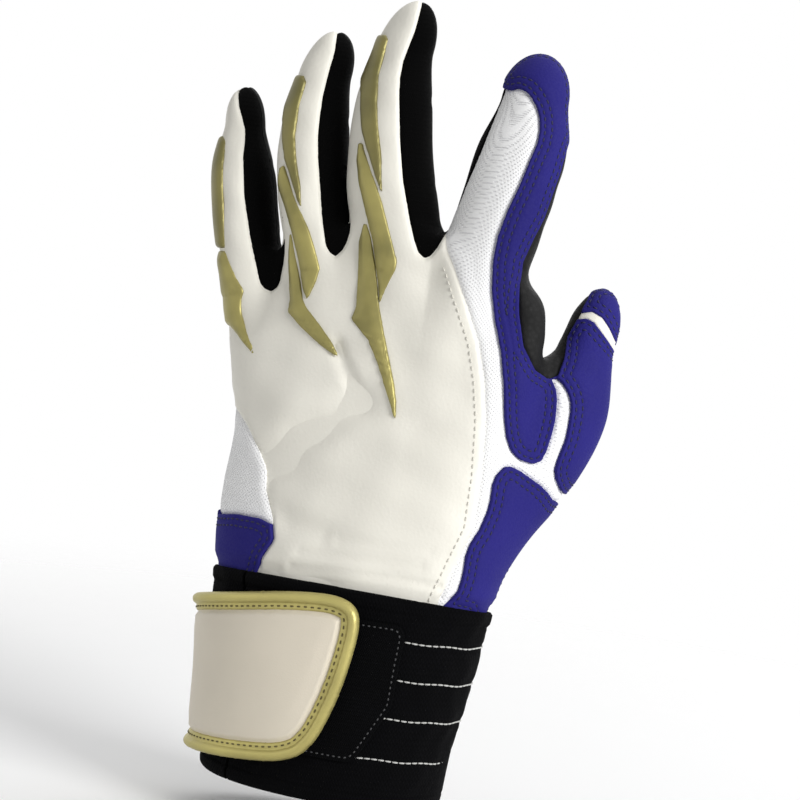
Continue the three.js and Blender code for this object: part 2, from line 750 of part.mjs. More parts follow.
// Badge frame: a rounded border carried round the strap's outline
function badgeFrame() {
  const perimeter = [];
  for (let i = 0; i < strapColumns; i += 1) perimeter.push([i / strapColumns, 0]);
  for (let i = 0; i < strapRows; i += 1) perimeter.push([1, i / strapRows]);
  for (let i = strapColumns; i > 0; i -= 1) perimeter.push([i / strapColumns, 1]);
  for (let i = strapRows; i > 0; i -= 1) perimeter.push([0, i / strapRows]);
  const profileShares = [[0, 0], [0, 0.6], [0.25, 1], [0.75, 1], [1, 0.6], [1, 0], [0.5, 0]];
  const outer = cuffRegion(badge);
  const inner = cuffRegion({ ...badge, inset: badgeBorder });
  return loop((i, k) => {
    const [a, b] = [outer(...perimeter[i]), inner(...perimeter[i])];
    const [over, up] = profileShares[k];
    return handPoint(mix(a[0], b[0], over), mix(a[1], b[1], over), badgeBase + badgeThickness * up);
  }, perimeter.length, profileShares.length);
}
add('badge_frame', badgeFrame(), gold);

// The strap's sewn end, on the little-finger side of the cuff
function strapAnchor() {
  const inner = () => loopBase;
  const outer = (across) => mix(loopBase + loopThickness, strapBase + strapThickness, across);
  const skin = (proud) => (across, along) => {
    const z = mix(strapLows[0] + badgeInset, strapHighs[0] - badgeInset, along);
    const end = strapRootAngle - degreesFor(clearance, strapRootAngle, z);
    return handPoint(mix(anchorAngle, end, across), z, proud(across));
  };
  return wall(skin(outer), skin(inner), 5, 3);
}
add('strap_anchor', strapAnchor(), black);

// Tab sewn inside the hem
function pullTab() {
  const skin = (proud) => (across, along) => {
    const z = mix(-pullTabDrop, pullTabLap, along);
    const spread = degreesFor(pullTabWidth / 2, pullTabAngle, 0);
    const point = handPoint(pullTabAngle + mix(-spread, spread, across), Math.max(z, 0), proud);
    return point.setZ(z);
  };
  const outside = -leather - clearance;
  return wall(skin(outside), skin(outside - pullTabThickness), 3, 3);
}
add('pull_tab', pullTab(), black);

// Where the digits and the strap bend: a point on each hinge line and the line's direction
const strapFace = strapBase + strapThickness;
const strapHinge = [strapLows[0], strapHighs[0]].map((z) => handPoint(strapRootAngle, z, strapFace));
const thumbAlong = thumb.along(thumbJointShare);
const thumbFold = levelDirection(thumbFoldAngle);
thumbFold.addScaledVector(thumbAlong, -thumbFold.dot(thumbAlong)).normalize();
const thumbPivot = digitPoint(
  thumb,
  thumbJointShare,
  thumbFold.dot(thumb.sideways(thumbJointShare)),
  thumbFold.dot(thumb.facing(thumbJointShare)),
  clearance,
);
glove.userData.hinges = {
  strap: { point: strapHinge[0], direction: strapHinge[0].clone().sub(strapHinge[1]).normalize() },
  thumb: { point: thumbPivot, direction: thumbAlong.cross(thumbFold) },
};
const fingerHinge = radians(fingerHingeAngle);
fingers.forEach((finger) => {
  glove.userData.hinges[finger.name] = {
    point: new THREE.Vector3(finger.rootX, knuckleDepth / 2, rootLine(finger.rootX)),
    direction: new THREE.Vector3(-Math.cos(fingerHinge), 0, -Math.sin(fingerHinge)),
  };
});

export default glove;
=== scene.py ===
import math

import bpy
import numpy as np
from mathutils import Matrix, Vector, kdtree


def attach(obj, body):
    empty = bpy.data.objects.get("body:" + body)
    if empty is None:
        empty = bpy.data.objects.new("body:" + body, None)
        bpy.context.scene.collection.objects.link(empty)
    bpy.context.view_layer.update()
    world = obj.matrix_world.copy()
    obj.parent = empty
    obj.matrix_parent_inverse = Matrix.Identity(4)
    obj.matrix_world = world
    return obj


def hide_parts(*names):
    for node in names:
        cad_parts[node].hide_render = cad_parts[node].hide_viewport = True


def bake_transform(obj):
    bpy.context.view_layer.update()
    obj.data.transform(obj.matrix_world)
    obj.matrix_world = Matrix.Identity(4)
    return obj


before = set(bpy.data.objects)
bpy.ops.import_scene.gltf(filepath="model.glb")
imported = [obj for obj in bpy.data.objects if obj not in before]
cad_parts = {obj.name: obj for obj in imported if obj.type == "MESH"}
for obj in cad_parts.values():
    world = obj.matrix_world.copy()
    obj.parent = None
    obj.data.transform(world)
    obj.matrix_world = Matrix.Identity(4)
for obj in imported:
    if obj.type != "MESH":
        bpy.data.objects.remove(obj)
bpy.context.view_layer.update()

bl_info = {
    "name": "Batting glove",
    "version": (1, 0, 0),
    "blender": (4, 5, 0),
    "location": "View3D > Sidebar > Glove",
    "description": "Builds a worn batting glove around its frame",
    "category": "Add Mesh",
}

MM = 0.001
COARSE = 1.0

# The frame's own sizes, in millimetres and degrees
ROOT_HEIGHT, ROOT_DROP, ROOT_PEAK_SHARE = 162, 19, 0.06
WRIST_DEPTH, KNUCKLE_DEPTH = 50, 24
FINGER_GAP, FINGER_WIDTH, FINGER_LENGTH, DOME_START = 2.4, 28.8, 81, 0.8
HEM_HEIGHT = 5
CENTRE_SHARES = (0.02, 0.025, 0.03, 0.08, 0.12, 0.06, 0.014)
BREADTH_SHARES = (0.81, 0.855, 0.91, 0.93, 0.93, 0.98, 1)
BACK_SHARES = (0.98, 1, 1, 0.79, 0.53, 0.27, 0)
PALM_SHARES = (0.98, 1, 1, 0.97, 0.8, 0.45, 0)
SQUARE_SHARES = (2.15, 2.15, 2.15, 2.3, 2.4, 2.5, 2.5)
# A finger's seat is its girth share where it meets the hand, and its shift, in millimetres, is how far
# the worn finger leans from there
FINGERS = {
    "little": dict(width=0.66, depth=0.66, length=0.805, twist=38, sway=-0.239, bow=0.015, curl=0.131,
                   girth=(0.95, 1.02, 1.04, 0.98, 0.66), seat=0.97, shift=0),
    "ring": dict(width=0.757, depth=0.757, length=0.895, twist=19, sway=-0.105, bow=0.07, curl=0.096,
                 girth=(1.0, 1.05, 1.04, 0.95, 0.74), seat=0.95, shift=0),
    "middle": dict(width=0.993, depth=0.847, length=0.975, twist=19, sway=-0.086, bow=0.074, curl=0.074,
                   girth=(0.97, 1.05, 0.97, 0.87, 0.66), seat=0.92, shift=-0.3),
    "index": dict(width=1, depth=0.819, length=0.868, twist=12, sway=0.13, bow=-0.042, curl=0.128,
                  girth=(1.03, 1.0, 1, 0.97, 0.72), seat=0.95, shift=-5.6),
}
THUMB_SHARES = ((0.298, 0.12, 0.432), (0.568, 0.22, 0.66), (0.622, 0.42, 0.882))
THUMB_GIRTH = (0.7, 0.88, 1.01, 0.96, 0.55)
THUMB_WIDTH, THUMB_DEPTH, THUMB_TIP, THUMB_FACING = 29, 28, 18, 62
THUMB_FOOT, ROOT_END = 22, 0.3
CROTCH_RISE, VALLEY_DEPTH = 10.5, 1.6
WRIST_SLIM, HEM_SWELL, WEB_SWELL = 4.4, 1.4, 3.4

# The view in which the seams on the back are laid out, which is also the camera's
VIEW_TURN, VIEW_RISE, VIEW_ROLL, VIEW_DISTANCE = 22, 3, 7, 650
VIEW_SCALE, FRAME_SIDE = 0.305, 800
VIEW_TARGET = np.array((0, 0, 120.0))
TARGET_SPOT = (363.0, 394.4)


def through(values, place):
    """A smooth curve through equally spaced values."""
    values = np.asarray(values, float)
    last = len(values) - 1
    at = np.clip(place, 0, 1) * last
    step = np.clip(at.astype(int), 0, last - 1)
    part = at - step
    low, high = values[step], values[step + 1]
    slope_in = (high - values[np.maximum(step - 1, 0)]) / 2
    slope_out = (values[np.minimum(step + 2, last)] - low) / 2
    rise = high - low
    bend = 3 * rise - 2 * slope_in - slope_out + part * (slope_in + slope_out - 2 * rise)
    return low + part * (slope_in + part * bend)


def smooth(low, high, value):
    share = np.clip((value - low) / (high - low), 0, 1)
    return share * share * (3 - 2 * share)


def mix(low, high, share):
    return low + (high - low) * share


def join(one, other, reach):
    """The nearer of two distances, rounded where they meet."""
    near = np.maximum(reach - np.abs(one - other), 0) / reach
    return np.minimum(one, other) - near * near * reach / 4


def unit(vectors, least=0.0):
    """Vectors scaled to length one."""
    return vectors / (np.linalg.norm(vectors, axis=-1)[..., None] + least)


def lengths_along(line):
    """The length along a line up to each of its points."""
    return np.concatenate([[0], np.cumsum(np.linalg.norm(np.diff(line, axis=0), axis=1))])


def lay_out_fingers():
    reaches = []
    for finger in FINGERS.values():
        for key in ("width", "depth"):
            finger[key] *= FINGER_WIDTH
        finger["length"] *= FINGER_LENGTH
        for key in ("sway", "bow", "curl"):
            finger[key] *= finger["length"]
        turn = math.radians(finger["twist"])
        finger["side"] = (math.cos(turn), -math.sin(turn))
        finger["face"] = (-math.sin(turn), -math.cos(turn))
        reach = math.hypot(finger["width"] * math.cos(turn), finger["depth"] * math.sin(turn)) / 2
        reaches.append(reach * finger["seat"])
    breadth = 2 * sum(reaches) + FINGER_GAP * (len(reaches) - 1)
    edge = breadth / 2 * (CENTRE_SHARES[-1] - 1)
    for finger, reach in zip(FINGERS.values(), reaches):
        finger["x"] = edge + reach + finger["shift"]
        edge += 2 * reach + FINGER_GAP
    return breadth


BREADTH = lay_out_fingers()
ROOT_PEAK = BREADTH * ROOT_PEAK_SHARE


def root_line(x):
    return ROOT_HEIGHT - ROOT_DROP * ((x - ROOT_PEAK) / (BREADTH / 2)) ** 2


for digit in FINGERS.values():
    digit["z"] = root_line(digit["x"])


def finger_frame(finger, p):
    """Height share, sideways and facing offsets in half sizes, for points beside a finger."""
    t = (p[:, 2] - finger["z"]) / finger["length"]
    above = np.clip(t, 0, DOME_START)
    low = np.clip(t, -ROOT_END, 0)
    bend = np.where(t < 0, 4 * low, 4 * above * (1 - above))
    x = finger["x"] + finger["sway"] * (above + low) - finger["bow"] * bend
    y = finger["curl"] * above ** 2
    past = np.maximum(t - DOME_START, 0) / (1 - DOME_START)
    end = 4 * DOME_START * (1 - DOME_START)
    x = x + past * (finger["sway"] * (1 - DOME_START) + finger["bow"] * end)
    y = y + past * finger["curl"] * (1 - DOME_START ** 2)
    girth = through(finger["girth"], above / DOME_START)
    past = np.where(t < -ROOT_END, (-ROOT_END - t) / (1 - DOME_START), past)
    x = np.where(t < -ROOT_END, finger["x"] - (finger["sway"] - 4 * finger["bow"]) * ROOT_END, x)
    dx, dy = p[:, 0] - x, p[:, 1] - y
    half_width, half_depth = finger["width"] / 2 * girth, finger["depth"] / 2 * girth
    across = (dx * finger["side"][0] + dy * finger["side"][1]) / half_width
    front = (dx * finger["face"][0] + dy * finger["face"][1]) / half_depth
    return t, past, across, front, half_width, half_depth


def rounded_distance(past, across, front, half_width, half_depth, rise):
    radius = np.sqrt(across ** 2 + front ** 2 + past ** 2) + 1e-9
    slope = np.sqrt((across / half_width) ** 2 + (front / half_depth) ** 2 + (past / rise) ** 2) / radius
    return (radius - 1) / np.maximum(slope, 1 / (2 * half_width))


def finger_distance(finger, p):
    _, past, across, front, half_width, half_depth = finger_frame(finger, p)
    return rounded_distance(past, across, front, half_width, half_depth, finger["length"] * (1 - DOME_START))


THUMB_POINTS = np.array(THUMB_SHARES) * (BREADTH, WRIST_DEPTH, ROOT_HEIGHT)
THUMB_OUT = np.array((math.sin(math.radians(THUMB_FACING)), -math.cos(math.radians(THUMB_FACING)), 0))


def thumb_curve(t):
    start, bend, top = THUMB_POINTS
    t = np.asarray(t, float)[:, None]
    point = (1 - t) ** 2 * start + 2 * t * (1 - t) * bend + t * t * top
    along = 2 * (1 - t) * (bend - start) + 2 * t * (top - bend)
    return point, along


def thumb_frame(p):
    t = np.clip((p[:, 2] - THUMB_POINTS[0, 2]) / (THUMB_POINTS[2, 2] - THUMB_POINTS[0, 2]), 0, 1)
    for _ in range(5):
        point, along = thumb_curve(t)
        t = np.clip(t + ((p - point) * along).sum(1) / (along ** 2).sum(1), 0, 1)
    point, along = thumb_curve(t)
    along = unit(along)
    facing = unit(THUMB_OUT - along * (along @ THUMB_OUT)[:, None])
    side = np.cross(along, facing)
    girth = through(THUMB_GIRTH, t)
    half_width, half_depth = THUMB_WIDTH / 2 * girth, THUMB_DEPTH / 2 * girth
    offset = p - point
    across = (offset * side).sum(1) / half_width
    front = (offset * facing).sum(1) / half_depth
    beyond = (offset * along).sum(1)
    past = np.where(beyond > 0, beyond / THUMB_TIP, beyond / THUMB_FOOT)
    return t, past, across, front, half_width, half_depth


def thumb_distance(p):
    _, past, across, front, half_width, half_depth = thumb_frame(p)
    return rounded_distance(past, across, front, half_width, half_depth, THUMB_TIP)


def hand_section(z):
    place = np.clip(z / ROOT_HEIGHT, 0, 1)
    centre = through(CENTRE_SHARES, place) * BREADTH / 2
    half = through(BREADTH_SHARES, place) * BREADTH / 2
    slim = WRIST_SLIM * smooth(92, 52, z) - HEM_SWELL * smooth(40, 0, z)
    full = WEB_SWELL * smooth(112, 146, z) * smooth(176, 152, z)
    centre, half = centre + (slim + full) / 2, half + (full - slim) / 2
    back = mix(KNUCKLE_DEPTH, WRIST_DEPTH, through(BACK_SHARES, place)) / 2
    palm = mix(KNUCKLE_DEPTH, WRIST_DEPTH, through(PALM_SHARES, place)) / 2
    return centre, half, back, palm, through(SQUARE_SHARES, place)


def hand_distance(p):
    x, y, z = p.T
    centre, half, back, palm, power = hand_section(z)
    roots = [finger["x"] for finger in FINGERS.values()]
    depths = [finger["depth"] / 2 * finger["girth"][0] - VALLEY_DEPTH for finger in FINGERS.values()]
    rise = smooth(-18, 4, z - root_line(x))
    depth = mix(np.where(y < 0, back, palm), np.interp(x, roots, depths), rise)
    across, front = np.abs(x - centre) / half + 1e-6, np.abs(y) / depth + 1e-6
    radius = (across ** power + front ** power) ** (1 / power)
    slope = radius ** (1 - power) * np.hypot(across ** (power - 1) / half, front ** (power - 1) / depth)
    side = (radius - 1) / np.maximum(slope, 1 / (2 * half))
    top = (z - root_line(x) - CROTCH_RISE) * 0.85
    return -join(-side, -top, 5)


def hand_point(angle, z, proud=0.0):
    """Points on the hand at an angle round it, from the back towards the thumb, in degrees."""
    angle, z = np.broadcast_arrays(np.asarray(angle, float), np.asarray(z, float))
    centre, half, back, palm, power = hand_section(z)
    turn = np.radians(angle)
    side, face = np.sin(turn), np.cos(turn)
    depth = np.where(face > 0, back, palm)
    x = centre + (half + proud) * np.sign(side) * np.abs(side) ** (2 / power)
    y = -(depth + proud) * np.sign(face) * np.abs(face) ** (2 / power)
    return np.stack([x, y, z], -1)


def degrees_for(length, angle, z):
    """How far round the hand a length reaches."""
    one, two = hand_point(angle - 0.5, z), hand_point(angle + 0.5, z)
    return length / np.linalg.norm(one - two, axis=-1)


def hand_angle(p):
    centre, half, back, palm, power = hand_section(p[:, 2])
    across = (p[:, 0] - centre) / half
    front = -p[:, 1] / np.where(p[:, 1] < 0, back, palm)
    return np.degrees(np.arctan2(np.sign(across) * np.abs(across) ** (power / 2),
                                 np.sign(front) * np.abs(front) ** (power / 2)))


def glove_distance(p):
    """Distance from points to the leather's outer face, in millimetres."""
    fingers = np.min([finger_distance(finger, p) for finger in FINGERS.values()], axis=0)
    return join(join(hand_distance(p), fingers, 4), thumb_distance(p), 9)


def true_distance(distance, p, reach=0.2):
    """Distance and outward direction at points, the distance scaled to true length."""
    value = distance(p)
    slope = np.stack([distance(p + d) - distance(p - d) for d in np.eye(3) * reach], 1) / (2 * reach)
    length = np.linalg.norm(slope, axis=1) + 1e-9
    return value / length, slope / length[:, None]


def grow_surface(distance, low, high, step):
    """A triangle mesh on the zero level of a distance, drawn onto it."""
    axes = [np.arange(a, b + s, s) for a, b, s in zip(low, high, step)]
    sizes = [len(axis) for axis in axes]
    values = np.empty(sizes, np.float32)
    yy, zz = np.meshgrid(axes[1], axes[2], indexing="ij")
    for first in range(0, sizes[0], 12):
        xs = axes[0][first:first + 12]
        block = np.empty((len(xs),) + yy.shape + (3,))
        block[..., 0] = xs[:, None, None]
        block[..., 1], block[..., 2] = yy, zz
        values[first:first + 12] = distance(block.reshape(-1, 3)).reshape(block.shape[:3])
    inside = values < 0
    corners = [(i, j, k) for i in (0, 1) for j in (0, 1) for k in (0, 1)]

    def corner(array, c):
        return array[tuple(slice(o, o + n - 1) for o, n in zip(c, sizes))]

    count = sum(corner(inside, c).astype(np.int8) for c in corners)
    active = (count > 0) & (count < 8)
    number = np.full(active.shape, -1)
    number[active] = np.arange(active.sum())
    cells = np.argwhere(active)
    total, hits = np.zeros((len(cells), 3)), np.zeros(len(cells))
    samples = {c: corner(values, c)[active] for c in corners}
    for c in corners:
        for axis in range(3):
            if c[axis]:
                continue
            other = tuple(v + (n == axis) for n, v in enumerate(c))
            near, far = samples[c], samples[other]
            cross = (near < 0) != (far < 0)
            spot = np.tile(np.array(c, float), (cross.sum(), 1))
            spot[:, axis] += near[cross] / (near[cross] - far[cross])
            total[cross] += spot
            hits[cross] += 1
    co = np.array(low) + (cells + total / hits[:, None]) * step
    quads = []
    for axis in range(3):
        b, c = (axis + 1) % 3, (axis + 2) % 3
        first = inside[tuple(slice(0, -1) if n == axis else slice(1, -1) for n in range(3))]
        second = inside[tuple(slice(1, None) if n == axis else slice(1, -1) for n in range(3))]
        for start, flip in ((first & ~second, False), (second & ~first, True)):
            at = np.argwhere(start)
            at[:, b] += 1
            at[:, c] += 1
            ring = []
            for back_b, back_c in ((1, 1), (0, 1), (0, 0), (1, 0)):
                where = at.copy()
                where[:, b] -= back_b
                where[:, c] -= back_c
                ring.append(number[tuple(where.T)])
            quads.append(np.stack(ring[::-1] if flip else ring, 1))
    quads = np.concatenate(quads)
    for _ in range(3):
        value, normal = true_distance(distance, co)
        co -= normal * np.clip(value, -0.6, 0.6)[:, None]
    one = np.linalg.norm(co[quads[:, 0]] - co[quads[:, 2]], axis=1)
    two = np.linalg.norm(co[quads[:, 1]] - co[quads[:, 3]], axis=1)
    short = (one < two)[:, None]
    tri = np.concatenate([np.where(short, quads[:, [0, 1, 2]], quads[:, [0, 1, 3]]),
                          np.where(short, quads[:, [0, 2, 3]], quads[:, [1, 2, 3]])])
    return co, tri


def view_axes():
    """The view's directions to the right, up and ahead."""
    a, e, r = (math.radians(v) for v in (VIEW_TURN, VIEW_RISE, VIEW_ROLL))
    right = np.array((math.cos(a), math.sin(a), 0))
    ahead = np.array((-math.sin(a) * math.cos(e), math.cos(a) * math.cos(e), -math.sin(e)))
    up = np.cross(right, ahead)
    return math.cos(r) * right + math.sin(r) * up, math.cos(r) * up - math.sin(r) * right, ahead


def view_spot(p):
    """Where points are seen in the frame."""
    right, up, ahead = view_axes()
    q = p - VIEW_TARGET
    scale = VIEW_DISTANCE / (VIEW_DISTANCE + q @ ahead) / VIEW_SCALE
    return TARGET_SPOT[0] + (q @ right) * scale, TARGET_SPOT[1] - (q @ up) * scale


def seam_x(seam, y):
    xs, ys = np.array(sorted(seam, key=lambda spot: spot[1])).T
    return np.interp(y, ys, xs)


def line_gap(line, x, y):
    """Distance from spots to a line."""
    best = np.full(len(x), 1e9)
    for (ax, ay), (bx, by) in zip(line[:-1], line[1:]):
        dx, dy = bx - ax, by - ay
        share = np.clip(((x - ax) * dx + (y - ay) * dy) / (dx * dx + dy * dy), 0, 1)
        best = np.minimum(best, np.hypot(x - ax - share * dx, y - ay - share * dy))
    return best


def inside_outline(outline, x, y):
    """Signed distance from spots to a closed outline, positive inside."""
    line = np.array([*outline, outline[0]], float)
    odd = np.zeros(len(x), bool)
    for (ax, ay), (bx, by) in zip(line[:-1], line[1:]):
        if ay != by:
            odd ^= ((ay > y) != (by > y)) & (x < (bx - ax) * (y - ay) / (by - ay) + ax)
    best = line_gap(line, x, y)
    return np.where(odd, best, -best)


# Skins: triangle meshes with columns of values at their vertices
class Skin:
    """Columns at, whose first six are place and outward direction, and triangles."""

    def __init__(self, at, tri):
        self.at, self.tri = at, tri

    @property
    def co(self):
        return self.at[:, :3]

    @property
    def no(self):
        return self.at[:, 3:6]

    def pick(self, chosen):
        used, tri = np.unique(self.tri[chosen], return_inverse=True)
        return Skin(self.at[used], tri.reshape(-1, 3))

    def add(self, *columns):
        return Skin(np.column_stack([self.at, *columns]), self.tri)


# Values this near to a cut count as on it
SNAP = 0.09


def cut(skin, value):
    """The skin with its triangles cut where value is zero, and each triangle's side."""
    value = np.where(np.abs(value) < SNAP, 0, value)
    tri = skin.tri
    sign = np.sign(value)[tri].astype(int)
    crossed = (sign.max(1) > 0) & (sign.min(1) < 0)
    whole = tri[~crossed]
    whole_side = np.where(sign[~crossed].sum(1) >= 0, 1, -1)
    if not crossed.any():
        return Skin(skin.at, whole), whole_side
    t, s = tri[crossed], sign[crossed]
    odd = np.where((s == 0).any(1), np.argmax(s == 0, 1), np.argmax(s * np.sign(s.sum(1))[:, None] < 0, 1))
    order = (odd[:, None] + np.arange(3)) % 3
    t, s = np.take_along_axis(t, order, 1), np.take_along_axis(s, order, 1)
    a, b, c = t.T
    zero = s[:, 0] == 0
    pairs = ((a, b, ~zero), (a, c, ~zero), (b, c, zero))
    edges = np.concatenate([np.stack([one, two], 1)[rows] for one, two, rows in pairs])
    edges.sort(axis=1)
    keys, spot = np.unique(edges, axis=0, return_inverse=True)
    spot = spot.reshape(-1) + len(skin.at)
    one, two = value[keys[:, 0]], value[keys[:, 1]]
    share = (one / (one - two))[:, None]
    new = skin.at[keys[:, 0]] * (1 - share) + skin.at[keys[:, 1]] * share
    new[:, 3:6] = unit(new[:, 3:6], 1e-12)
    count = (~zero).sum()
    m, n, k = spot[:count], spot[count:2 * count], spot[2 * count:]
    a1, b1, c1, s1 = a[~zero], b[~zero], c[~zero], s[~zero, 0]
    a2, b2, c2, s2 = a[zero], b[zero], c[zero], s[zero, 1]
    tri = np.concatenate([
        whole,
        np.stack([a1, m, n], 1), np.stack([m, b1, c1], 1), np.stack([m, c1, n], 1),
        np.stack([a2, b2, k], 1), np.stack([a2, k, c2], 1),
    ])
    side = np.concatenate([whole_side, s1, -s1, -s1, s2, -s2])
    return Skin(np.concatenate([skin.at, new]), tri), side


def halves(skin, value):
    parts, side = cut(skin, value)
    return parts.pick(side > 0), parts.pick(side < 0)


def edges_of(tri):
    """The directed edges of triangles."""
    return np.concatenate([tri[:, [0, 1]], tri[:, [1, 2]], tri[:, [2, 0]]])


def rim_edges(tri):
    """Directed edges used by one triangle only."""
    edges = edges_of(tri)
    keys = np.sort(edges, axis=1)
    _, index, count = np.unique(keys, axis=0, return_inverse=True, return_counts=True)
    return edges[count[index.reshape(-1)] == 1]


# The limit of distances from a rim
FAR = 6.0


def rim_distance(skin):
    """How far each vertex is from the skin's own rim, in millimetres, up to a limit."""
    edges = rim_edges(skin.tri)
    out = np.full(len(skin.at), FAR)
    starts, ends = skin.co[edges[:, 0]], skin.co[edges[:, 1]]
    middles = (starts + ends) / 2
    tree = kdtree.KDTree(len(middles))
    for n, spot in enumerate(middles):
        tree.insert(spot, n)
    tree.balance()
    near = np.array([[hit[1] for hit in tree.find_n(spot, 3)] for spot in skin.co])
    for column in near.T:
        a, b = starts[column], ends[column]
        d = b - a
        share = np.clip(((skin.co - a) * d).sum(1) / np.maximum((d * d).sum(1), 1e-12), 0, 1)
        gap = np.linalg.norm(skin.co - a - share[:, None] * d, axis=1)
        out = np.minimum(out, gap)
    return out


def face_normals(co, tri):
    return np.cross(co[tri[:, 1]] - co[tri[:, 0]], co[tri[:, 2]] - co[tri[:, 0]])


def shading(co, tri, fallback):
    normal = np.zeros_like(co)
    face = face_normals(co, tri)
    for k in range(3):
        np.add.at(normal, tri[:, k], face)
    length = np.linalg.norm(normal, axis=1)
    weak = length < 1e-9
    normal[weak], length[weak] = fallback[weak], 1
    return normal / length[:, None]


# Rim distances along which a formed skin gets vertices
RIM_LEVELS = (0.3, 0.7, 1.2, 2.0, 3.2)


def formed(skin, raised, levels=RIM_LEVELS):
    """A skin with added columns: rim distance, outer place and outer direction. raised gives the outer
    face's height from the rim distance and the skin."""
    gap = rim_distance(skin)
    skin = skin.add(gap)
    for line in levels:
        skin, _ = cut(skin, skin.at[:, -1] - line)
    gap = skin.at[:, -1]
    outer = skin.co + skin.no * raised(gap, skin)[:, None]
    return skin.add(outer, shading(outer, skin.tri, skin.no))


# The columns that formed adds
GAP, OUTER, OUTWARD = -7, slice(-6, -3), slice(-3, None)


def new_piece(name, co, faces, finish, normals=None, uv=None):
    mesh = bpy.data.meshes.new(name)
    mesh.from_pydata((np.asarray(co) * MM).tolist(), [], [list(face) for face in faces])
    mesh.shade_smooth()
    if uv is not None:
        layer = mesh.uv_layers.new(name="cloth")
        index = np.empty(len(mesh.loops), np.int32)
        mesh.loops.foreach_get("vertex_index", index)
        layer.data.foreach_set("uv", np.asarray(uv, np.float32)[index].ravel())
    if normals is not None:
        mesh.normals_split_custom_set(normals)
    mesh.materials.append(finish)
    piece = bpy.data.objects.new(name, mesh)
    bpy.context.scene.collection.objects.link(piece)
    return piece


def hand_lengths(z):
    """Lengths round the hand from its back, for whole degrees."""
    angles = np.arange(-180, 181)
    run = lengths_along(hand_point(angles, z))
    return angles, run - run[180]


# Taken where the palm is broad
HAND_LENGTHS = hand_lengths(110.0)


def cloth_uv(co, body):
    """Lengths round and along a body at each point, in metres, which its weave follows."""
    if body in BODIES[1:]:
        width = THUMB_WIDTH if body == "thumb" else FINGERS[body]["width"]
        round_it = around(body, co)[0] * width / 2 * math.pi / 180
    else:
        round_it = np.interp(hand_angle(co), *HAND_LENGTHS)
    return np.stack([round_it, co[:, 2]], 1) * MM


def shell(name, skin, inner, finish, slot, body="hand", nodes=(), folds=False):
    """A closed sheet between a formed skin's outer face and a height below its base, attached to its body
    when that body is the hand or the strap without folds, and which replaces the nodes named."""
    outside, inside = skin.at[:, OUTER], skin.co + skin.no * inner
    count = len(outside)
    rim = rim_edges(skin.tri)
    wall = np.concatenate([
        np.stack([rim[:, 1], rim[:, 0], rim[:, 0] + count], 1),
        np.stack([rim[:, 1], rim[:, 0] + count, rim[:, 1] + count], 1),
    ])
    faces = np.concatenate([skin.tri, skin.tri[:, ::-1] + count, wall])
    co = np.concatenate([outside, inside])
    normals = np.concatenate([skin.at[:, OUTWARD], -skin.no])[faces[:2 * len(skin.tri)]].reshape(-1, 3)
    flat = unit(face_normals(co, wall), 1e-12)
    normals = np.concatenate([normals, np.repeat(flat, 3, 0)]).tolist()
    uv = cloth_uv(skin.co, body if slot == "black_stretch" else "hand")
    piece = new_piece(name, co, faces, finish_of(finish), normals, np.concatenate([uv, uv]))
    carried(piece, body, folds)
    if nodes:
        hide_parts(*nodes)


# Bodies: which part of the glove carries a triangle, and the start and end of each body's bend line
BODIES = ("hand", "little", "ring", "middle", "index", "thumb")
SMALLEST = 6
SPLIT_RISE, BEND_LENGTH = 12, 22
THUMB_SPLIT = np.array((54.5, 10, 131.9))
THUMB_RISE = np.array((0.573, 0.232, 0.786))
THUMB_BEND = 15
FOLD_ANGLES, FOLD_HEIGHT, FOLD_PROUD = (-101.0, -95.0), 28.0, 3.6


def bend_line(body):
    """Where a bend starts and ends."""
    if body == "strap":
        return hand_point(FOLD_ANGLES, FOLD_HEIGHT, FOLD_PROUD)
    if body == "thumb":
        start = THUMB_SPLIT + THUMB_RISE
        return start, start + THUMB_RISE * THUMB_BEND
    finger = FINGERS[body]
    slope = -2 * ROOT_DROP * (finger["x"] - ROOT_PEAK) / (BREADTH / 2) ** 2
    rise = np.array((-slope, 0, 1)) / math.hypot(slope, 1)
    start = np.array((finger["x"], 0, finger["z"] + SPLIT_RISE))
    return start, start + rise * BEND_LENGTH


def carrier(co):
    """The body that carries each point: hand, the four fingers or thumb, as a number."""
    digits = np.stack([finger_distance(finger, co) for finger in FINGERS.values()] + [thumb_distance(co)], 1)
    above = co[:, 2] > root_line(co[:, 0]) + SPLIT_RISE
    out = np.where(above, digits[:, :4].argmin(1) + 1, 0)
    thumb = ((co - THUMB_SPLIT) @ THUMB_RISE > 0) & (digits[:, 4] < digits[:, :4].min(1))
    out[thumb & (digits[:, 4] < hand_distance(co) + 1)] = 5
    return out


def by_body(skin):
    """A formed skin as a dictionary of body to skin, without scraps."""
    skin, _ = cut(skin, skin.co[:, 2] - root_line(skin.co[:, 0]) - SPLIT_RISE)
    skin, _ = cut(skin, (skin.co - THUMB_SPLIT) @ THUMB_RISE)
    body = carrier(skin.co[skin.tri].mean(1))
    return {name: skin.pick(body == number) for number, name in enumerate(BODIES)
            if (body == number).sum() >= SMALLEST}


def carried(piece, body, folds=False):
    if body == "hand" or body == "strap" and not folds:
        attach(piece, body)
    else:
        start, end = bend_line(body)
        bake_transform(piece)


def spread(name, skin, finish, slot, nodes, rows=()):
    """One piece for each body that a formed skin crosses, each replacing the nodes named for it, and
    its rows of stitches, each row a rim distance, a thread and a rule for where it runs."""
    for body, part in by_body(skin).items():
        shell(f"{body}_{name}", part, -sizes().leather / MM, finish, slot, body, nodes.get(body, ()))
        for n, (distance, thread, runs) in enumerate(rows):
            lines = [line for chain in level_lines(part, distance) for line in kept_runs(chain, runs)]
            sew(f"{body}_{name}_stitches_{n + 1}", lines, thread, body)


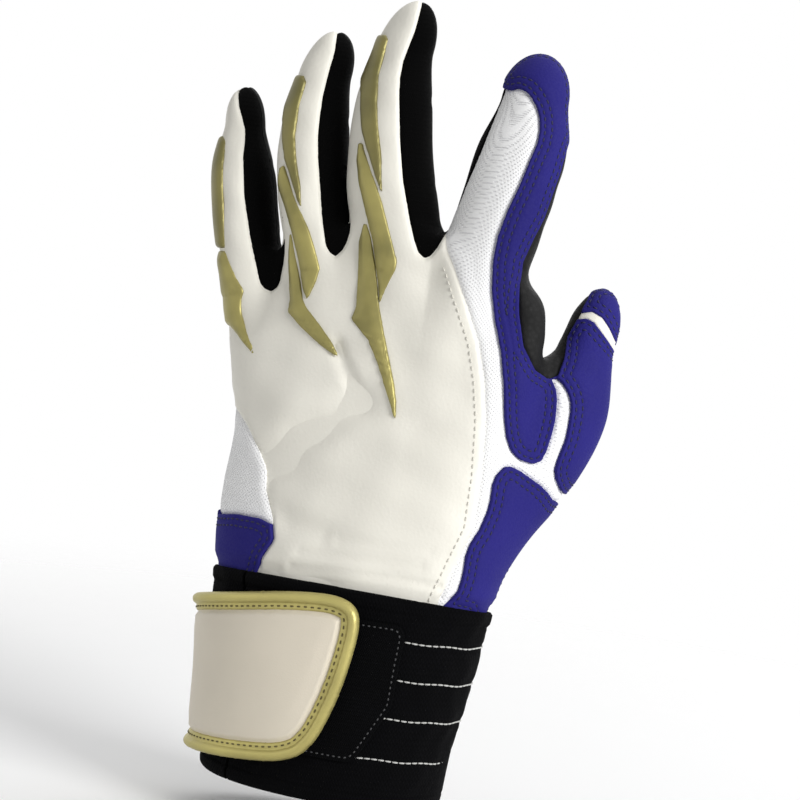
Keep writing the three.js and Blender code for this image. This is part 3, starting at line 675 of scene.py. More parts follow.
def level_lines(skin, distance):
    """Chains of places and outward directions along which the rim distance has one value."""
    value = skin.at[:, GAP] - distance
    above = value > 0
    mixed = above[skin.tri]
    links = {}
    for corners in skin.tri[mixed.any(1) & ~mixed.all(1)].tolist():
        cut_edges = [tuple(sorted((corners[k - 1], corners[k]))) for k in range(3)
                     if above[corners[k - 1]] != above[corners[k]]]
        for one, two in (cut_edges, cut_edges[::-1]):
            links.setdefault(one, []).append(two)
    done = set()
    chains = []
    for start in sorted(links, key=lambda edge: len(links[edge])):
        if start in done:
            continue
        chain = [start]
        done.add(start)
        while True:
            onward = [edge for edge in links[chain[-1]] if edge not in done]
            if not onward:
                break
            chain.append(onward[0])
            done.add(onward[0])
        if len(chain) > 2 and chain[0] in links[chain[-1]]:
            chain.append(chain[0])
        one, two = np.array(chain).T
        share = (value[one] / (value[one] - value[two]))[:, None]
        at = skin.at[one] * (1 - share) + skin.at[two] * share
        chains.append((at[:, OUTER], at[:, OUTWARD]))
    return chains


def kept_runs(chain, runs):
    """The stretches of a chain where a rule holds."""
    co, no = chain
    keep = runs(co, no)
    breaks = np.flatnonzero(np.diff(keep.astype(int))) + 1
    return [(co[part], no[part]) for part in np.split(np.arange(len(co)), breaks) if keep[part[0]]]


# A stitch's rings: their places along it, their sizes and their heights
STITCH_RINGS = ((0, 0.35, -0.9), (0.14, 0.85, 0.1), (0.5, 1, 0.45), (0.86, 0.85, 0.1), (1, 0.35, -0.9))
STITCH_SIDES, STITCH_START, STITCH_FLATNESS = 6, 0.13, 0.8


def sew(name, lines, thread, body, pitch=None, share=0.74, radius=0.3):
    """A row of separate stitches along each line: rounded, and sunk at both ends."""
    pitch = pitch or sizes().pitch / MM
    table = np.array(STITCH_RINGS).T
    middles, ways, outs = [], [], []
    for co, no in lines:
        run = lengths_along(co)
        if run[-1] < pitch * 2:
            continue
        count = int(run[-1] / pitch)
        starts = (np.arange(count) + STITCH_START) * run[-1] / count
        at = starts[:, None] + table[0] * pitch * share
        spot, up = (np.stack([np.interp(at, run, one[:, k]) for k in range(3)], -1) for one in (co, no))
        middles.append(spot)
        ways.append(np.broadcast_to(unit(spot[:, -1:] - spot[:, :1], 1e-9), spot.shape))
        outs.append(unit(up))
    if not middles:
        return
    spot, way, up = (np.concatenate(part) for part in (middles, ways, outs))
    side = unit(np.cross(way, up), 1e-9)
    turn = np.arange(STITCH_SIDES) * 2 * math.pi / STITCH_SIDES
    size, lift = table[1:, None, :, None, None] * radius
    ring = side[:, :, None] * np.cos(turn)[:, None] + up[:, :, None] * np.sin(turn)[:, None] * STITCH_FLATNESS
    co = spot[:, :, None] + up[:, :, None] * lift + ring * size
    each = len(STITCH_RINGS) * STITCH_SIDES
    faces = [[first + k, first + (k + 1) % STITCH_SIDES, first + STITCH_SIDES + (k + 1) % STITCH_SIDES,
              first + STITCH_SIDES + k]
             for first in range(0, each - STITCH_SIDES, STITCH_SIDES) for k in range(STITCH_SIDES)]
    faces += [list(range(STITCH_SIDES))[::-1], list(range(each - STITCH_SIDES, each))]
    whole = [[v + n * each for v in face] for n in range(len(co)) for face in faces]
    carried(new_piece(name, co.reshape(-1, 3), whole, finish_of(thread)), body)


# Seams on the back, as seen in the frame
GUSSET_SEAMS = (
    (((237, 95), (238, 105), (245, 128), (245, 140), (243, 155), (244, 195), (250, 235), (255, 260),
      (260, 283), (264, 288), (270, 291)),
     ((270, 291), (276, 287), (279, 281), (282, 265), (284, 240), (281, 215), (278, 200), (276, 150))),
    (((337, 33), (335, 50), (328, 75), (323, 95), (320, 115), (318, 135), (318, 155), (321, 195),
      (322, 215), (325, 244), (329, 252), (335, 256)),
     ((335, 256), (341, 251), (346, 243), (349, 230), (349, 212), (344, 190), (345, 160))),
    (((422, 2), (419, 15), (415, 30), (403, 60), (400, 75), (399, 95), (400, 140), (403, 180), (410, 220),
      (414, 240), (418, 252), (424, 258)),
     ((424, 258), (430, 256), (437, 247), (444, 234), (450, 222), (458, 203), (468, 178), (480, 150),
      (493, 118), (503, 94), (507, 77))),
)
PALM_AT_INDEX = (
    (610, 60), (580, 105), (568, 140), (559, 172), (543, 218), (532, 240), (522, 262), (519, 285),
    (519, 315), (523, 346), (534, 370), (548, 380), (590, 384),
)
PALM_AT_THUMB = (
    (700, 270), (600, 285), (590, 296), (578, 320), (568, 338), (564, 360), (558, 376), (548, 380),
    (500, 384),
)
WHITE_EDGE = (
    (444, 0), (444, 220), (446, 250), (452, 264), (468, 310), (478, 340), (484, 380), (486, 420), (482, 475),
    (474, 530), (452, 575), (440, 600), (430, 640),
)
ULNAR_EDGE = (
    (215, 380), (236, 410), (246, 425), (255, 445), (264, 468), (264, 490), (271, 518), (273, 540),
    (262, 556), (252, 577), (250, 620),
)
WEB_OUTLINE = (
    (501, 88), (510, 90), (518, 88), (526, 91), (532, 98), (537, 107), (540, 118), (540, 130), (538, 142),
    (529, 163), (520, 185), (508, 210), (498, 236), (493, 260), (492, 290), (495, 320), (501, 350),
    (504, 385), (505, 420), (507, 438), (512, 452), (520, 460), (533, 464), (541, 461), (546, 452),
    (550, 440), (553, 430), (556, 415), (557, 400), (556, 390), (551, 379), (560, 340), (572, 300),
    (600, 270), (680, 200), (620, 20), (470, 20), (480, 72),
)
THUMB_OUTLINE = (
    (551, 379), (557, 378), (563, 384), (568, 392), (571, 402), (571, 412), (569, 425), (566, 440),
    (558, 460), (555, 470), (556, 479), (561, 491), (580, 505), (680, 470), (700, 260), (590, 250),
    (572, 300), (560, 340),
)
STRIPE_OUTLINE = (
    (560, 318), (578, 314), (592, 312), (602, 318), (608, 327), (612, 336), (616, 344), (650, 352),
    (650, 361), (613, 351), (607, 341), (600, 331), (594, 323), (587, 319), (578, 320), (560, 325),
)
HEEL_OUTLINE = (
    (491, 500), (493, 485), (497, 475), (505, 467), (512, 467), (520, 471), (530, 478), (540, 485),
    (548, 493), (553, 501), (600, 515), (600, 640), (480, 640), (470, 613), (443, 608), (452, 600),
    (458, 592), (462, 580), (464, 570), (466, 557), (470, 545), (480, 530), (488, 512),
)
PATCH_OUTLINE = (
    (150, 514), (235, 514), (258, 518), (268, 523), (290, 530), (290, 640), (150, 640),
)

# Where pieces meet out of the frame's sight: angles round a digit or the hand, and heights
PALM_ANGLE, TIP_ANGLE, SIDE_ANGLE = 132, 100, 60
RADIAL_ANGLE, ULNAR_ANGLE, THUMB_PALM_ANGLE = 105, 92, 84
ROOT_CLOSING, HEEL_OPENING, HAND_DEGREE = 46, 40, 0.62
HEEL_TOP, MESH_TOP, CROOK_LOW, CROOK_HIGH, TIP_SHARE = 78.5, 118, 118, 170, 0.86
WEB_LOW, MESH_ANGLE, MESH_SLOPE = 150, -68, 0.25
# Places to the thumb's side: where the web, the palm behind the crook and the crook itself start
WEB_SIDE, BEHIND_SIDE, CROOK_SIDE, ULNAR_SIDE = 18, 22, 30, 15
# Rows of the frame: the crotch of the thumb, where the palm beside it ends, and one far above the glove
CROTCH_ROW, BESIDE_ROWS, FAR_ROW = 382, (384, 374), -80
# Where one rule gives way to the next: shares of the thumb, the fingers and the index, and millimetres
THUMB_TURN, FINGER_TURN, INDEX_TURN, SIDE_TURN = (0.25, 0.6), (0.3, 0.7), (0.4, 0.75), (22, 30)
# A field where its piece surely isn't, and the facings between which the frame takes over
OUTSIDE = -5.0
EDGE_ON = (-0.02, 0.1)


def facing_view(no):
    return -(no @ view_axes()[2])


def around(digit, co):
    """Angles round a digit from its back, and the length of a degree there."""
    measures = thumb_frame(co) if digit == "thumb" else finger_frame(FINGERS[digit], co)
    _, _, across, front, half_width, _ = measures
    return np.degrees(np.arctan2(across, front)), half_width * math.pi / 180


def shares_of(co):
    """How much each of the fingers, the thumb and the hand claims a point."""
    hand = np.where(co[:, 2] > root_line(co[:, 0]) + 4, 40, 0) + np.maximum(hand_distance(co), -2)
    gaps = [finger_distance(finger, co) for finger in FINGERS.values()]
    low = root_line(co[:, 0]) - co[:, 2]
    gaps = [gap + np.maximum(low, 0) for gap in gaps] + [thumb_distance(co), hand]
    weight = np.exp(-np.stack(gaps, 1) / 2)
    return weight / weight.sum(1)[:, None]


def palm_by_angle(co, weight):
    """The palm's field out of the frame's sight: past an angle on each digit and on the hand."""
    field = np.zeros(len(co))
    closing = ROOT_CLOSING * smooth(9, -1, co[:, 2] - root_line(co[:, 0])) ** 2
    for n, name in enumerate(FINGERS):
        angle, degree = around(name, co)
        outer = angle > 0 if name == "index" else (angle < 0) & (name == "little")
        limit = np.where(angle > 0, TIP_ANGLE, PALM_ANGLE) if name == "index" else PALM_ANGLE
        limit = limit - np.where(outer, 0, closing)
        field += weight[:, n] * (np.abs(angle) - limit) * degree
    angle, degree = around("thumb", co)
    field += weight[:, 4] * (np.abs(angle) - THUMB_PALM_ANGLE) * degree
    angle = hand_angle(co)
    heel = HEEL_OPENING * smooth(HEEL_TOP + 4, HEEL_TOP - 2, co[:, 2])
    past = np.where(angle > 0, angle - RADIAL_ANGLE, -angle - ULNAR_ANGLE - heel)
    return field + weight[:, 5] * past * HAND_DEGREE


def palm_field(skin):
    """Positive on the palm, which meets the seams in the frame beside the index finger and the thumb."""
    co = skin.co
    x, y = view_spot(co)
    weight = shares_of(co)
    hidden = palm_by_angle(co, weight)
    from_index = x - seam_x(PALM_AT_INDEX, y)
    to_thumb = np.minimum(from_index, seam_x(PALM_AT_THUMB, y) - x)
    on_thumb = weight[:, 4] / (weight[:, 3:].sum(1) + 1e-9)
    seen = mix(from_index, to_thumb, smooth(*THUMB_TURN, on_thumb)) * VIEW_SCALE
    seen = np.where(y > CROTCH_ROW, np.minimum(seen, to_thumb), seen)
    seen = mix(np.minimum(hidden, -1), seen, smooth(*SIDE_TURN, co[:, 0]))
    seen = mix(seen, hidden, smooth(*FINGER_TURN, weight[:, :3].sum(1)))
    crook = (co[:, 2] > CROOK_LOW) & (on_thumb < 0.5)
    inner = crook & (co[:, 0] > CROOK_SIDE) & (from_index > 3)
    field = mix(hidden, seen, smooth(-0.02, 0.05, facing_view(skin.no) + 0.45 * inner))
    behind = crook & (co[:, 0] > BEHIND_SIDE) & (co[:, 2] < CROOK_HIGH) & (skin.no[:, 1] > 0.1)
    return np.where(behind, np.maximum(field, 2), field)


def never(skin):
    return np.full(len(skin.at), OUTSIDE)


def stretch_field(skin):
    """Positive in the stretch gussets between the fingers."""
    co = skin.co
    x, y = view_spot(co)
    owner = np.stack([finger_distance(finger, co) for finger in FINGERS.values()], 1).argmin(1)
    above = co[:, 2] - root_line(co[:, 0])
    hidden, seen = never(skin), never(skin)
    for n, name in enumerate(FINGERS):
        angle, degree = around(name, co)
        edge = np.minimum((np.abs(angle) - SIDE_ANGLE) * degree, above)
        edge = np.where((angle > 0) & (name == "index"), OUTSIDE, edge)
        hidden = np.where(owner == n, edge, hidden)
    for n, (left, right) in enumerate(GUSSET_SEAMS):
        # Each finger's side of a gusset is an outline closed beyond the opposite seam
        (ax, ay), (bx, by) = left[-4], right[3]
        closed = ((bx + 30, by - 34), (bx + 110, FAR_ROW), (left[0][0], FAR_ROW))
        near_left = left + right[1:4] + closed
        top = (right[-1][0], right[-1][1] - 20 if n == 2 else FAR_ROW)
        near_right = ((ax - 60, FAR_ROW), (ax - 30, ay - 34)) + left[-4:-1] + right + (top,)
        sides = np.where(owner <= n, inside_outline(near_left, x, y), inside_outline(near_right, x, y))
        seen = np.where((owner == n) | (owner == n + 1), np.maximum(seen, sides * VIEW_SCALE), seen)
    return mix(hidden, seen, smooth(-0.03, 0.05, facing_view(skin.no)))


def off_index(skin, field):
    """A field kept off the index finger and the palm beside it, which the thumb hides from view."""
    weight = shares_of(skin.co)
    _, y = view_spot(skin.co)
    index = weight[:, 3] + weight[:, 5] * smooth(*BESIDE_ROWS, y)
    return mix(field, np.minimum(field, -3), smooth(*INDEX_TURN, index))


def on_view(outline, hidden, beside_index=False):
    """A field that follows an outline in the frame, and a rule where the frame doesn't show the skin."""
    def field(skin):
        seen = inside_outline(outline, *view_spot(skin.co)) * VIEW_SCALE
        if beside_index:
            seen = off_index(skin, seen)
        return mix(hidden(skin), seen, smooth(*EDGE_ON, facing_view(skin.no)))
    return field


def one_side(edge, height, way=1):
    """A rule that holds a height's field on one side of the glove."""
    def hidden(skin):
        return np.where(way * (skin.co[:, 0] - edge) > 0, height(skin.co[:, 2]), OUTSIDE)
    return hidden


def hidden_web(skin):
    """A rule for the index finger's outer side and its tip."""
    x, _, z = skin.co.T
    angle, _ = around("index", skin.co)
    tip = (z - FINGERS["index"]["z"]) / FINGERS["index"]["length"] > TIP_SHARE
    return np.where((z > WEB_LOW) & (x > WEB_SIDE) & ((angle > 0) | tip), -OUTSIDE, OUTSIDE)


def white_field(skin):
    co = skin.co
    x, y = view_spot(co)
    seen = np.minimum(seam_x(WHITE_EDGE, y) - x, x - seam_x(ULNAR_EDGE, y)) * VIEW_SCALE
    below = co[:, 2] - MESH_TOP - MESH_SLOPE * (hand_angle(co) - MESH_ANGLE)
    wrapped = np.where(co[:, 0] < ULNAR_SIDE, below, OUTSIDE)
    return mix(wrapped, seen, smooth(*EDGE_ON, facing_view(skin.no)))


def linked(count, pairs):
    """The group of each of count points, given the pairs that join them."""
    label = np.arange(count)
    while True:
        new = label.copy()
        low = label[pairs].min(1)
        for k in range(2):
            np.minimum.at(new, pairs[:, k], low)
        new = new[new]
        if (new == label).all():
            return label
        label = new


# The most vertices of a patch that counts as a speck
SPECK = 24


def settled(skin, field):
    """A field without specks: the smallest patches change sides."""
    pairs = edges_of(skin.tri)
    side = field > 0
    label = linked(len(field), pairs[side[pairs[:, 0]] == side[pairs[:, 1]]])
    size = np.bincount(label, minlength=len(field))[label]
    return np.where(size < SPECK / COARSE ** 2, np.where(side, -0.5, 0.5), field)


SURFACE_LOW, SURFACE_HIGH, SURFACE_STEP = (-68, -32, 50), (86, 46, 250), (0.65, 1.0, 1.2)


def leather_surface():
    step = tuple(size * COARSE for size in SURFACE_STEP)
    co, tri = grow_surface(glove_distance, SURFACE_LOW, SURFACE_HIGH, step)
    _, no = true_distance(glove_distance, co)
    return Skin(np.hstack([co, no]), tri)


REGIONS = {}


def regions():
    """The glove's leather and cloth, cut along its seams."""
    if REGIONS:
        return REGIONS
    rest = leather_surface()
    REGIONS["surface"] = rest
    for name, field in (
        ("palm", palm_field),
        ("stretch", stretch_field),
        ("stripe", on_view(STRIPE_OUTLINE, one_side(40, lambda z: 0.8 - np.abs(z - 143.4)), True)),
        ("thumb", on_view(THUMB_OUTLINE, one_side(30, lambda z: z - 98), True)),
        ("web", on_view(WEB_OUTLINE, hidden_web)),
        ("heel", on_view(HEEL_OUTLINE, one_side(20, lambda z: 95 - z))),
        ("white", white_field),
    ):
        REGIONS[name], rest = halves(rest, settled(rest, field(rest)))
    patch = on_view(PATCH_OUTLINE, one_side(0, lambda z: HEEL_TOP - z, -1))
    REGIONS["patch"], REGIONS["mesh"] = halves(rest, patch(rest))
    return REGIONS


# Finishes
class Number:
    """A number in a node tree, so that sums in it read as sums."""

    def __init__(self, tree, link):
        self.tree, self.link = tree, link

    def _sum(self, operation, one, two):
        return self.tree.node("ShaderNodeMath", {"operation": operation}, {0: one, 1: two})

    def __add__(self, other):
        return self._sum("ADD", self, other)

    def __radd__(self, other):
        return self._sum("ADD", other, self)

    def __sub__(self, other):
        return self._sum("SUBTRACT", self, other)

    def __rsub__(self, other):
        return self._sum("SUBTRACT", other, self)

    def __mul__(self, other):
        return self._sum("MULTIPLY", self, other)

    def __rmul__(self, other):
        return self._sum("MULTIPLY", other, self)


class Tree:
    """A node tree, in which one method makes every node."""

    def __init__(self, tree):
        self.nodes, self.links = tree.nodes, tree.links

    def feed(self, socket, value):
        if isinstance(value, Number):
            self.links.new(value.link, socket)
        else:
            socket.default_value = value

    def node(self, kind, settings=None, values=None, out=0):
        made = self.nodes.new(kind)
        for key, value in (settings or {}).items():
            setattr(made, key, value)
        for key, value in (values or {}).items():
            self.feed(made.inputs[key], value)
        return Number(self, made.outputs[out])


class Finish(Tree):
    """A material and its one shader."""

    def __init__(self, name, colour, roughness, metallic=0, specular=0.5):
        self.material = bpy.data.materials.new(name)
        self.material.use_nodes = True
        self.material.diffuse_color = (*colour[:3], 1)
        super().__init__(self.material.node_tree)
        self.shader = self.nodes["Principled BSDF"]
        for key, value in (("Base Color", (*colour[:3], 1)), ("Roughness", roughness), ("Metallic", metallic),
                           ("Specular IOR Level", specular)):
            self.set(key, value)

    def set(self, name, value):
        self.feed(self.shader.inputs[name], value)

    def place(self, cloth=False):
        return self.node("ShaderNodeTexCoord", out="UV" if cloth else "Object")

    def weave(self):
        """Lengths round and along the glove, in metres."""
        place = self.place(cloth=True)
        return [self.node("ShaderNodeSeparateXYZ", {}, {0: place}, out=axis) for axis in "XY"]

    def wave(self, value):
        return self.node("ShaderNodeMath", {"operation": "SINE"}, {0: value})

    def noise(self, scale, detail=3, cloth=False):
        values = {"Vector": self.place(cloth), "Scale": scale, "Detail": detail}
        return self.node("ShaderNodeTexNoise", {}, values, out="Fac")

    def cells(self, scale):
        return self.node("ShaderNodeTexVoronoi", {}, {"Vector": self.place(), "Scale": scale}, out="Distance")

    def blend(self, share, one, two):
        colours = {6: (*one[:3], 1), 7: (*two[:3], 1)}
        return self.node("ShaderNodeMix", {"data_type": "RGBA"}, {0: share, **colours}, out=2)

    def step(self, value, low, high, start=0.0, end=1.0):
        return self.node("ShaderNodeMapRange", {"interpolation_type": "SMOOTHSTEP"},
                         {"Value": value, "From Min": low, "From Max": high, "To Min": start, "To Max": end})

    def bump(self, height, depth):
        """depth is in millimetres."""
        self.set("Normal", self.node("ShaderNodeBump", {}, {"Height": height, "Distance": depth * MM}))


def part_of(colour, share):
    return tuple(channel * share for channel in colour[:3])


def leather_finish(name, colour, roughness, cell, relief, dark=0.86, shine=0.5):
    """Fine-grained leather: cells a given number to the metre, with soft patches of tone."""
    finish = Finish(name, colour, roughness, specular=shine)
    grain = finish.cells(cell)
    fine = finish.noise(cell * 1.7, 2)
    tone = finish.noise(45, 4)
    worn = finish.noise(9, 2)
    shade = finish.step(tone * 0.6 + worn * 0.4, 0.35, 0.65)
    finish.set("Base Color", finish.blend(shade, part_of(colour, dark), colour))
    finish.set("Roughness", roughness - 0.06 + grain * 0.18)
    finish.bump(grain * 0.7 + fine * 0.45 + tone * 0.8, relief)
    return finish.material


MESH_PITCH = 0.0013


def mesh_finish(name, colour, pore):
    """Open-knit mesh: rows of small pores over a foam backing."""
    finish = Finish(name, colour, 0.75)
    u, v = finish.weave()
    waviness = finish.noise(260, 2, cloth=True)
    turn = 2 * math.pi / MESH_PITCH
    wave_u = finish.wave(u * turn + waviness * 1.6)
    wave_v = finish.wave(v * (turn * 1.15) + waviness * 1.6)
    fine = finish.wave(v * (turn * 3.4))
    hole = finish.step(wave_u * wave_v, 0.25, 0.85)
    speck = finish.step(finish.noise(1500, 2, cloth=True), 0.62, 0.72)
    patch = finish.noise(120, 3, cloth=True)
    shown = hole * finish.step(patch, 0.35, 0.6, 0.25, 0.8) + speck * 0.5
    finish.set("Base Color", finish.blend(shown, colour, pore))
    finish.bump(fine * 0.18 - hole, 0.16)
    return finish.material


def knit_finish(name, colour, pitch, relief, light=1.8):
    """Stretch knit: fine crossing ribs, their pitch in millimetres, with a little lint."""
    finish = Finish(name, colour, 0.95, specular=0.06)
    u, v = finish.weave()
    turn = 2 * math.pi / (pitch * MM)
    wave_u = finish.wave(u * turn)
    wave_v = finish.wave(v * (turn * 0.62) + wave_u * 0.8)
    lint = finish.noise(900, 4)
    cloud = finish.noise(70, 3)
    share = finish.step(wave_u * wave_v * 0.25 + lint * 0.7 + cloud * 0.5, 0.45, 1.0)
    finish.set("Base Color", finish.blend(share, colour, part_of(colour, light)))
    finish.bump(wave_u * wave_v * 0.5 + lint, relief)
    return finish.material


def foil_finish(name, colour, dark):
    """Gold foil over moulded trim, with fine scratches and cloudy patches of a darker colour that are painted
    dark reflection.
    """
    finish = Finish(name, colour, 0.42, metallic=0.55)
    cloud = finish.noise(60, 3)
    scratch = finish.noise(900, 3)
    # Cloudy patches of the dark colour are painted dark reflection on the foil
    share = finish.step(cloud, 0.25, 0.65, 0.45, 1)
    finish.set("Base Color", finish.blend(share, dark, colour))
    finish.set("Roughness", 0.34 + scratch * 0.16)
    finish.bump(scratch * 0.4 + cloud, 0.03)
    return finish.material


def thread_finish(name, colour):
    finish = Finish(name, colour, 0.7)
    twist = finish.noise(2600, 2)
    finish.set("Base Color", finish.blend(twist, part_of(colour, 0.7), colour))
    finish.bump(twist, 0.05)
    return finish.material


def linear(*rgb):
    """A colour given as it looks on a screen, 0 to 255."""
    return tuple(((c / 255 + 0.055) / 1.055) ** 2.4 if c > 10 else c / 255 / 12.92 for c in rgb)


def colour(name, text, rgb):
    return bpy.props.FloatVectorProperty(name=name, description=text, subtype="COLOR", size=3, min=0, max=1,
                                         default=linear(*rgb))


def length(name, text, default):
    return bpy.props.FloatProperty(name=name, description=text, unit="LENGTH", default=default * MM, min=0)


class GloveColours(bpy.types.PropertyGroup):
    white: colour("White leather", "Smooth leather over the back", (238, 235, 224))
    mesh: colour("Mesh", "Open mesh beside the thumb", (255, 255, 255))
    pore: colour("Mesh pores", "Shade inside the mesh", (238, 238, 240))
    blue: colour("Blue leather", "Overlays round the thumb and index finger", (35, 31, 114))
    black: colour("Black leather", "Palm", (14, 14, 14))
    stretch: colour("Black stretch", "Gussets between the fingers", (1, 1, 1))
    gold: colour("Gold", "Frame of the badge", (188, 177, 108))
    foil: colour("Foil", "Trim on the fingers", (156, 147, 88))
    # The dark colour of the foil's cloudy patches is painted dark reflection
    dark_reflection: colour("Painted dark reflection on foil", "Painted dark reflection in the trim", (80, 77, 44))
    cream: colour("Cream", "Moulded panel on the strap", (224, 215, 197))
    knit: colour("Cuff knit", "Cuff and strap", (4, 4, 5))
    thread: colour("Pale thread", "Rows across the cuff", (196, 196, 192))


class GloveSizes(bpy.types.PropertyGroup):
    leather: length("Leather", "Thickness of the leather below its face", 1.3)
    seam: length("Seam", "How deep a sewn seam draws the leather in", 0.55)
    overlay: length("Overlay", "How far an overlay stands above the mesh", 0.75)
    pitch: length("Stitch pitch", "Length from stitch to stitch", 2.2)


def sizes():
    return bpy.context.scene.glove_sizes


FINISHES = {}


def finish_of(name):
    if not FINISHES:
        c = bpy.context.scene.glove_colours
        FINISHES.update(
            white=leather_finish("white leather", c.white, 0.5, 900, 0.05, 0.93),
            mesh=mesh_finish("mesh", c.mesh, c.pore),
            blue=leather_finish("blue leather", c.blue, 0.75, 1500, 0.09, 0.84, 0.2),
            palm=leather_finish("black leather", c.black, 0.68, 700, 0.12, 0.6, 0.22),
            stretch=knit_finish("black stretch", c.stretch, 0.9, 0.12),
            # Each foil finish blends in a darker colour as painted dark reflection
            gold=foil_finish("gold frame", c.gold, part_of(c.gold, 0.7)),
            foil=foil_finish("gold foil", c.foil, c.dark_reflection),
            # The strips' foil is darkened throughout as painted dark reflection
            strip=foil_finish("foil in painted dark reflection", part_of(c.foil, 0.6), c.dark_reflection),
            cream=leather_finish("cream panel", c.cream, 0.42, 1800, 0.03, 0.95),
            knit=knit_finish("cuff knit", c.knit, 1.1, 0.16),
            pile=knit_finish("loop pile", c.knit, 0.7, 0.3, 2.4),
            hooks=knit_finish("hook face", c.knit, 1.4, 0.3, 1.5),
            dark_thread=thread_finish("dark thread", linear(30, 29, 26)),
            gold_thread=thread_finish("olive thread", linear(92, 82, 44)),
            grey_thread=thread_finish("grey thread", linear(58, 58, 60)),
            blue_thread=thread_finish("dark blue thread", part_of(c.blue, 0.3)),
            thread=thread_finish("pale thread", c.thread),
            white_thread=thread_finish("white thread", part_of(c.white, 0.9)),
        )
    return FINISHES[name]


# Forms: how far a skin's outer face stands above it
ROW_DEPTH, ROW_WIDTH, SEAM_WIDTH, CUFF_GRIP = 0.24, 0.42, 0.6, 1.3
FOLD_DEPTH, FOLD_WIDTH, JOINT_DEPTH, JOINT_WIDTH, JOINT_SHARES = 0.45, 2.2, 0.4, 1.5, (0.3, 0.62)


def under_cuff(skin):
    """How far leather is pressed in where the cuff's edge holds it."""
    return CUFF_GRIP * smooth(5, 0.5, skin.co[:, 2] - cuff_top(hand_angle(skin.co)))


def sewn(depth, puff, base=0.0):
    """Height of leather that is drawn in at its seams and swells beside them."""
    def raised(gap, skin):
        swell = puff * smooth(0.3, 2.2, gap) * smooth(7, 2.5, gap)
        return base - depth * np.exp(-(gap / SEAM_WIDTH) ** 2) + swell - under_cuff(skin)
    return raised


def overlaid(height, radius, rows=(), puff=0.0, tucked=True):
    """Height of a sheet laid on top, with a rounded cut edge, drawn in along its rows of stitches."""
    def raised(gap, skin):
        left = np.maximum(radius - gap, 0)
        out = height - radius + np.sqrt(np.maximum(radius ** 2 - left ** 2, 0))
        for row in rows:
            out = out - ROW_DEPTH * np.exp(-((gap - row) / ROW_WIDTH) ** 2)
        return out + puff * smooth(0.4, 5, gap) - (under_cuff(skin) if tucked else 0)
    return raised


def uneven(skin, one, two):
    return np.sin(skin.co @ one) * np.sin(skin.co @ two + 1.3)


def creased(form):
    """A form with the soft creases and the unevenness of worn leather."""
    def raised(gap, skin):
        x, y = view_spot(skin.co)
        out = form(gap, skin)
        for line, depth, width in CREASES:
            out = out - depth * np.exp(-(line_gap(line, x, y) * VIEW_SCALE / width) ** 2)
        wave = uneven(skin, (0.21, 0.13, 0.17), (-0.11, 0.19, 0.23))
        return out + 0.28 * wave * smooth(0, 6, gap)
    return raised


# Creases in the frame: a line, its depth and its width
CREASES = (
    (((262, 470), (296, 436), (330, 418), (356, 400)), 2.0, 6.0),
    (((336, 345), (348, 375), (358, 402)), 1.3, 2.2),
    (((290, 566), (340, 572), (400, 580), (440, 588)), 0.8, 1.3),
    (((300, 553), (350, 560), (420, 566)), 0.5, 2.2),
    (((262, 500), (285, 520), (320, 534)), 0.8, 4),
    (((395, 330), (410, 380), (415, 430)), 0.6, 6),
    (((250, 380), (285, 400), (320, 405)), -0.7, 7),
    (((300, 470), (350, 455), (400, 460)), 0.5, 6),
    (((340, 540), (390, 548), (430, 552)), 0.4, 2),
)


class GLOVE_OT_back(bpy.types.Operator):
    """White leather over the back of the hand and three fingers"""
    bl_idname = "glove.back"
    bl_label = "White back"

    def execute(self, context):
        def beside_mesh(co, no):
            x, y = view_spot(co)
            return (np.abs(seam_x(WHITE_EDGE, y) - x) < 26) & (y > 266) & (facing_view(no) > 0)

        form = creased(sewn(sizes().seam / MM, 0.12))
        spread("white_leather", formed(regions()["white"], form), "white", "white_leather",
               {"hand": ["back_panel"], "little": ["little_back"], "ring": ["ring_back"],
                "middle": ["middle_back"]}, [(3.0, "white_thread", beside_mesh)])
        return {"FINISHED"}


class GLOVE_OT_mesh(bpy.types.Operator):
    """Mesh beside the index finger, round the thumb and on the little finger's edge"""
    bl_idname = "glove.mesh"
    bl_label = "Mesh"

    def execute(self, context):
        spread("mesh", formed(regions()["mesh"], sewn(0.4, 0.2, -0.25)), "mesh", "mesh_fabric",
               {"hand": ["side_mesh", "ulnar_mesh", "thumb_saddle"], "index": ["index_back_mesh"]})
        spread("stripe", formed(regions()["stripe"], overlaid(0.4, 0.3)), "white", "mesh_fabric", {})
        return {"FINISHED"}


BLUE_ROWS = (1.4, 3.4)
BLUE_LEVELS = (0.15, 0.3, 0.45, 1.0, 1.4, 1.8, 3.0, 3.4, 3.8)


class GLOVE_OT_overlays(bpy.types.Operator):
    """Blue leather round the index finger, the thumb and both sides of the heel"""
    bl_idname = "glove.overlays"
    bl_label = "Blue overlays"

    def execute(self, context):
        form = overlaid(sizes().overlay / MM, 0.45, BLUE_ROWS, 0.25)
        rows = [(row, "blue_thread", lambda co, no: co[:, 2] > 58) for row in BLUE_ROWS]
        for name, nodes in (
            ("web", {"hand": ["web_overlay"], "index": ["index_tip_overlay", "index_side_overlay"]}),
            ("thumb", {"hand": ["thumb_base_overlay", "thumb_side_overlay"],
                       "thumb": ["thumb_overlay", "thumb_tip_cap"]}),
            ("heel", {"hand": ["thumb_heel_overlay"]}),
            ("patch", {"hand": ["heel_patch"]}),
        ):
            skin = formed(regions()[name], form, BLUE_LEVELS)
            spread(f"{name}_blue", skin, "blue", "blue_leather", nodes, rows)
        return {"FINISHED"}


# The ball of the thumb on the palm: its middle, its radius and how it is stretched
BALL_X, BALL_Z, BALL_RADIUS, BALL_ACROSS, BALL_ALONG = 41, 92, 25, 0.95, 0.62


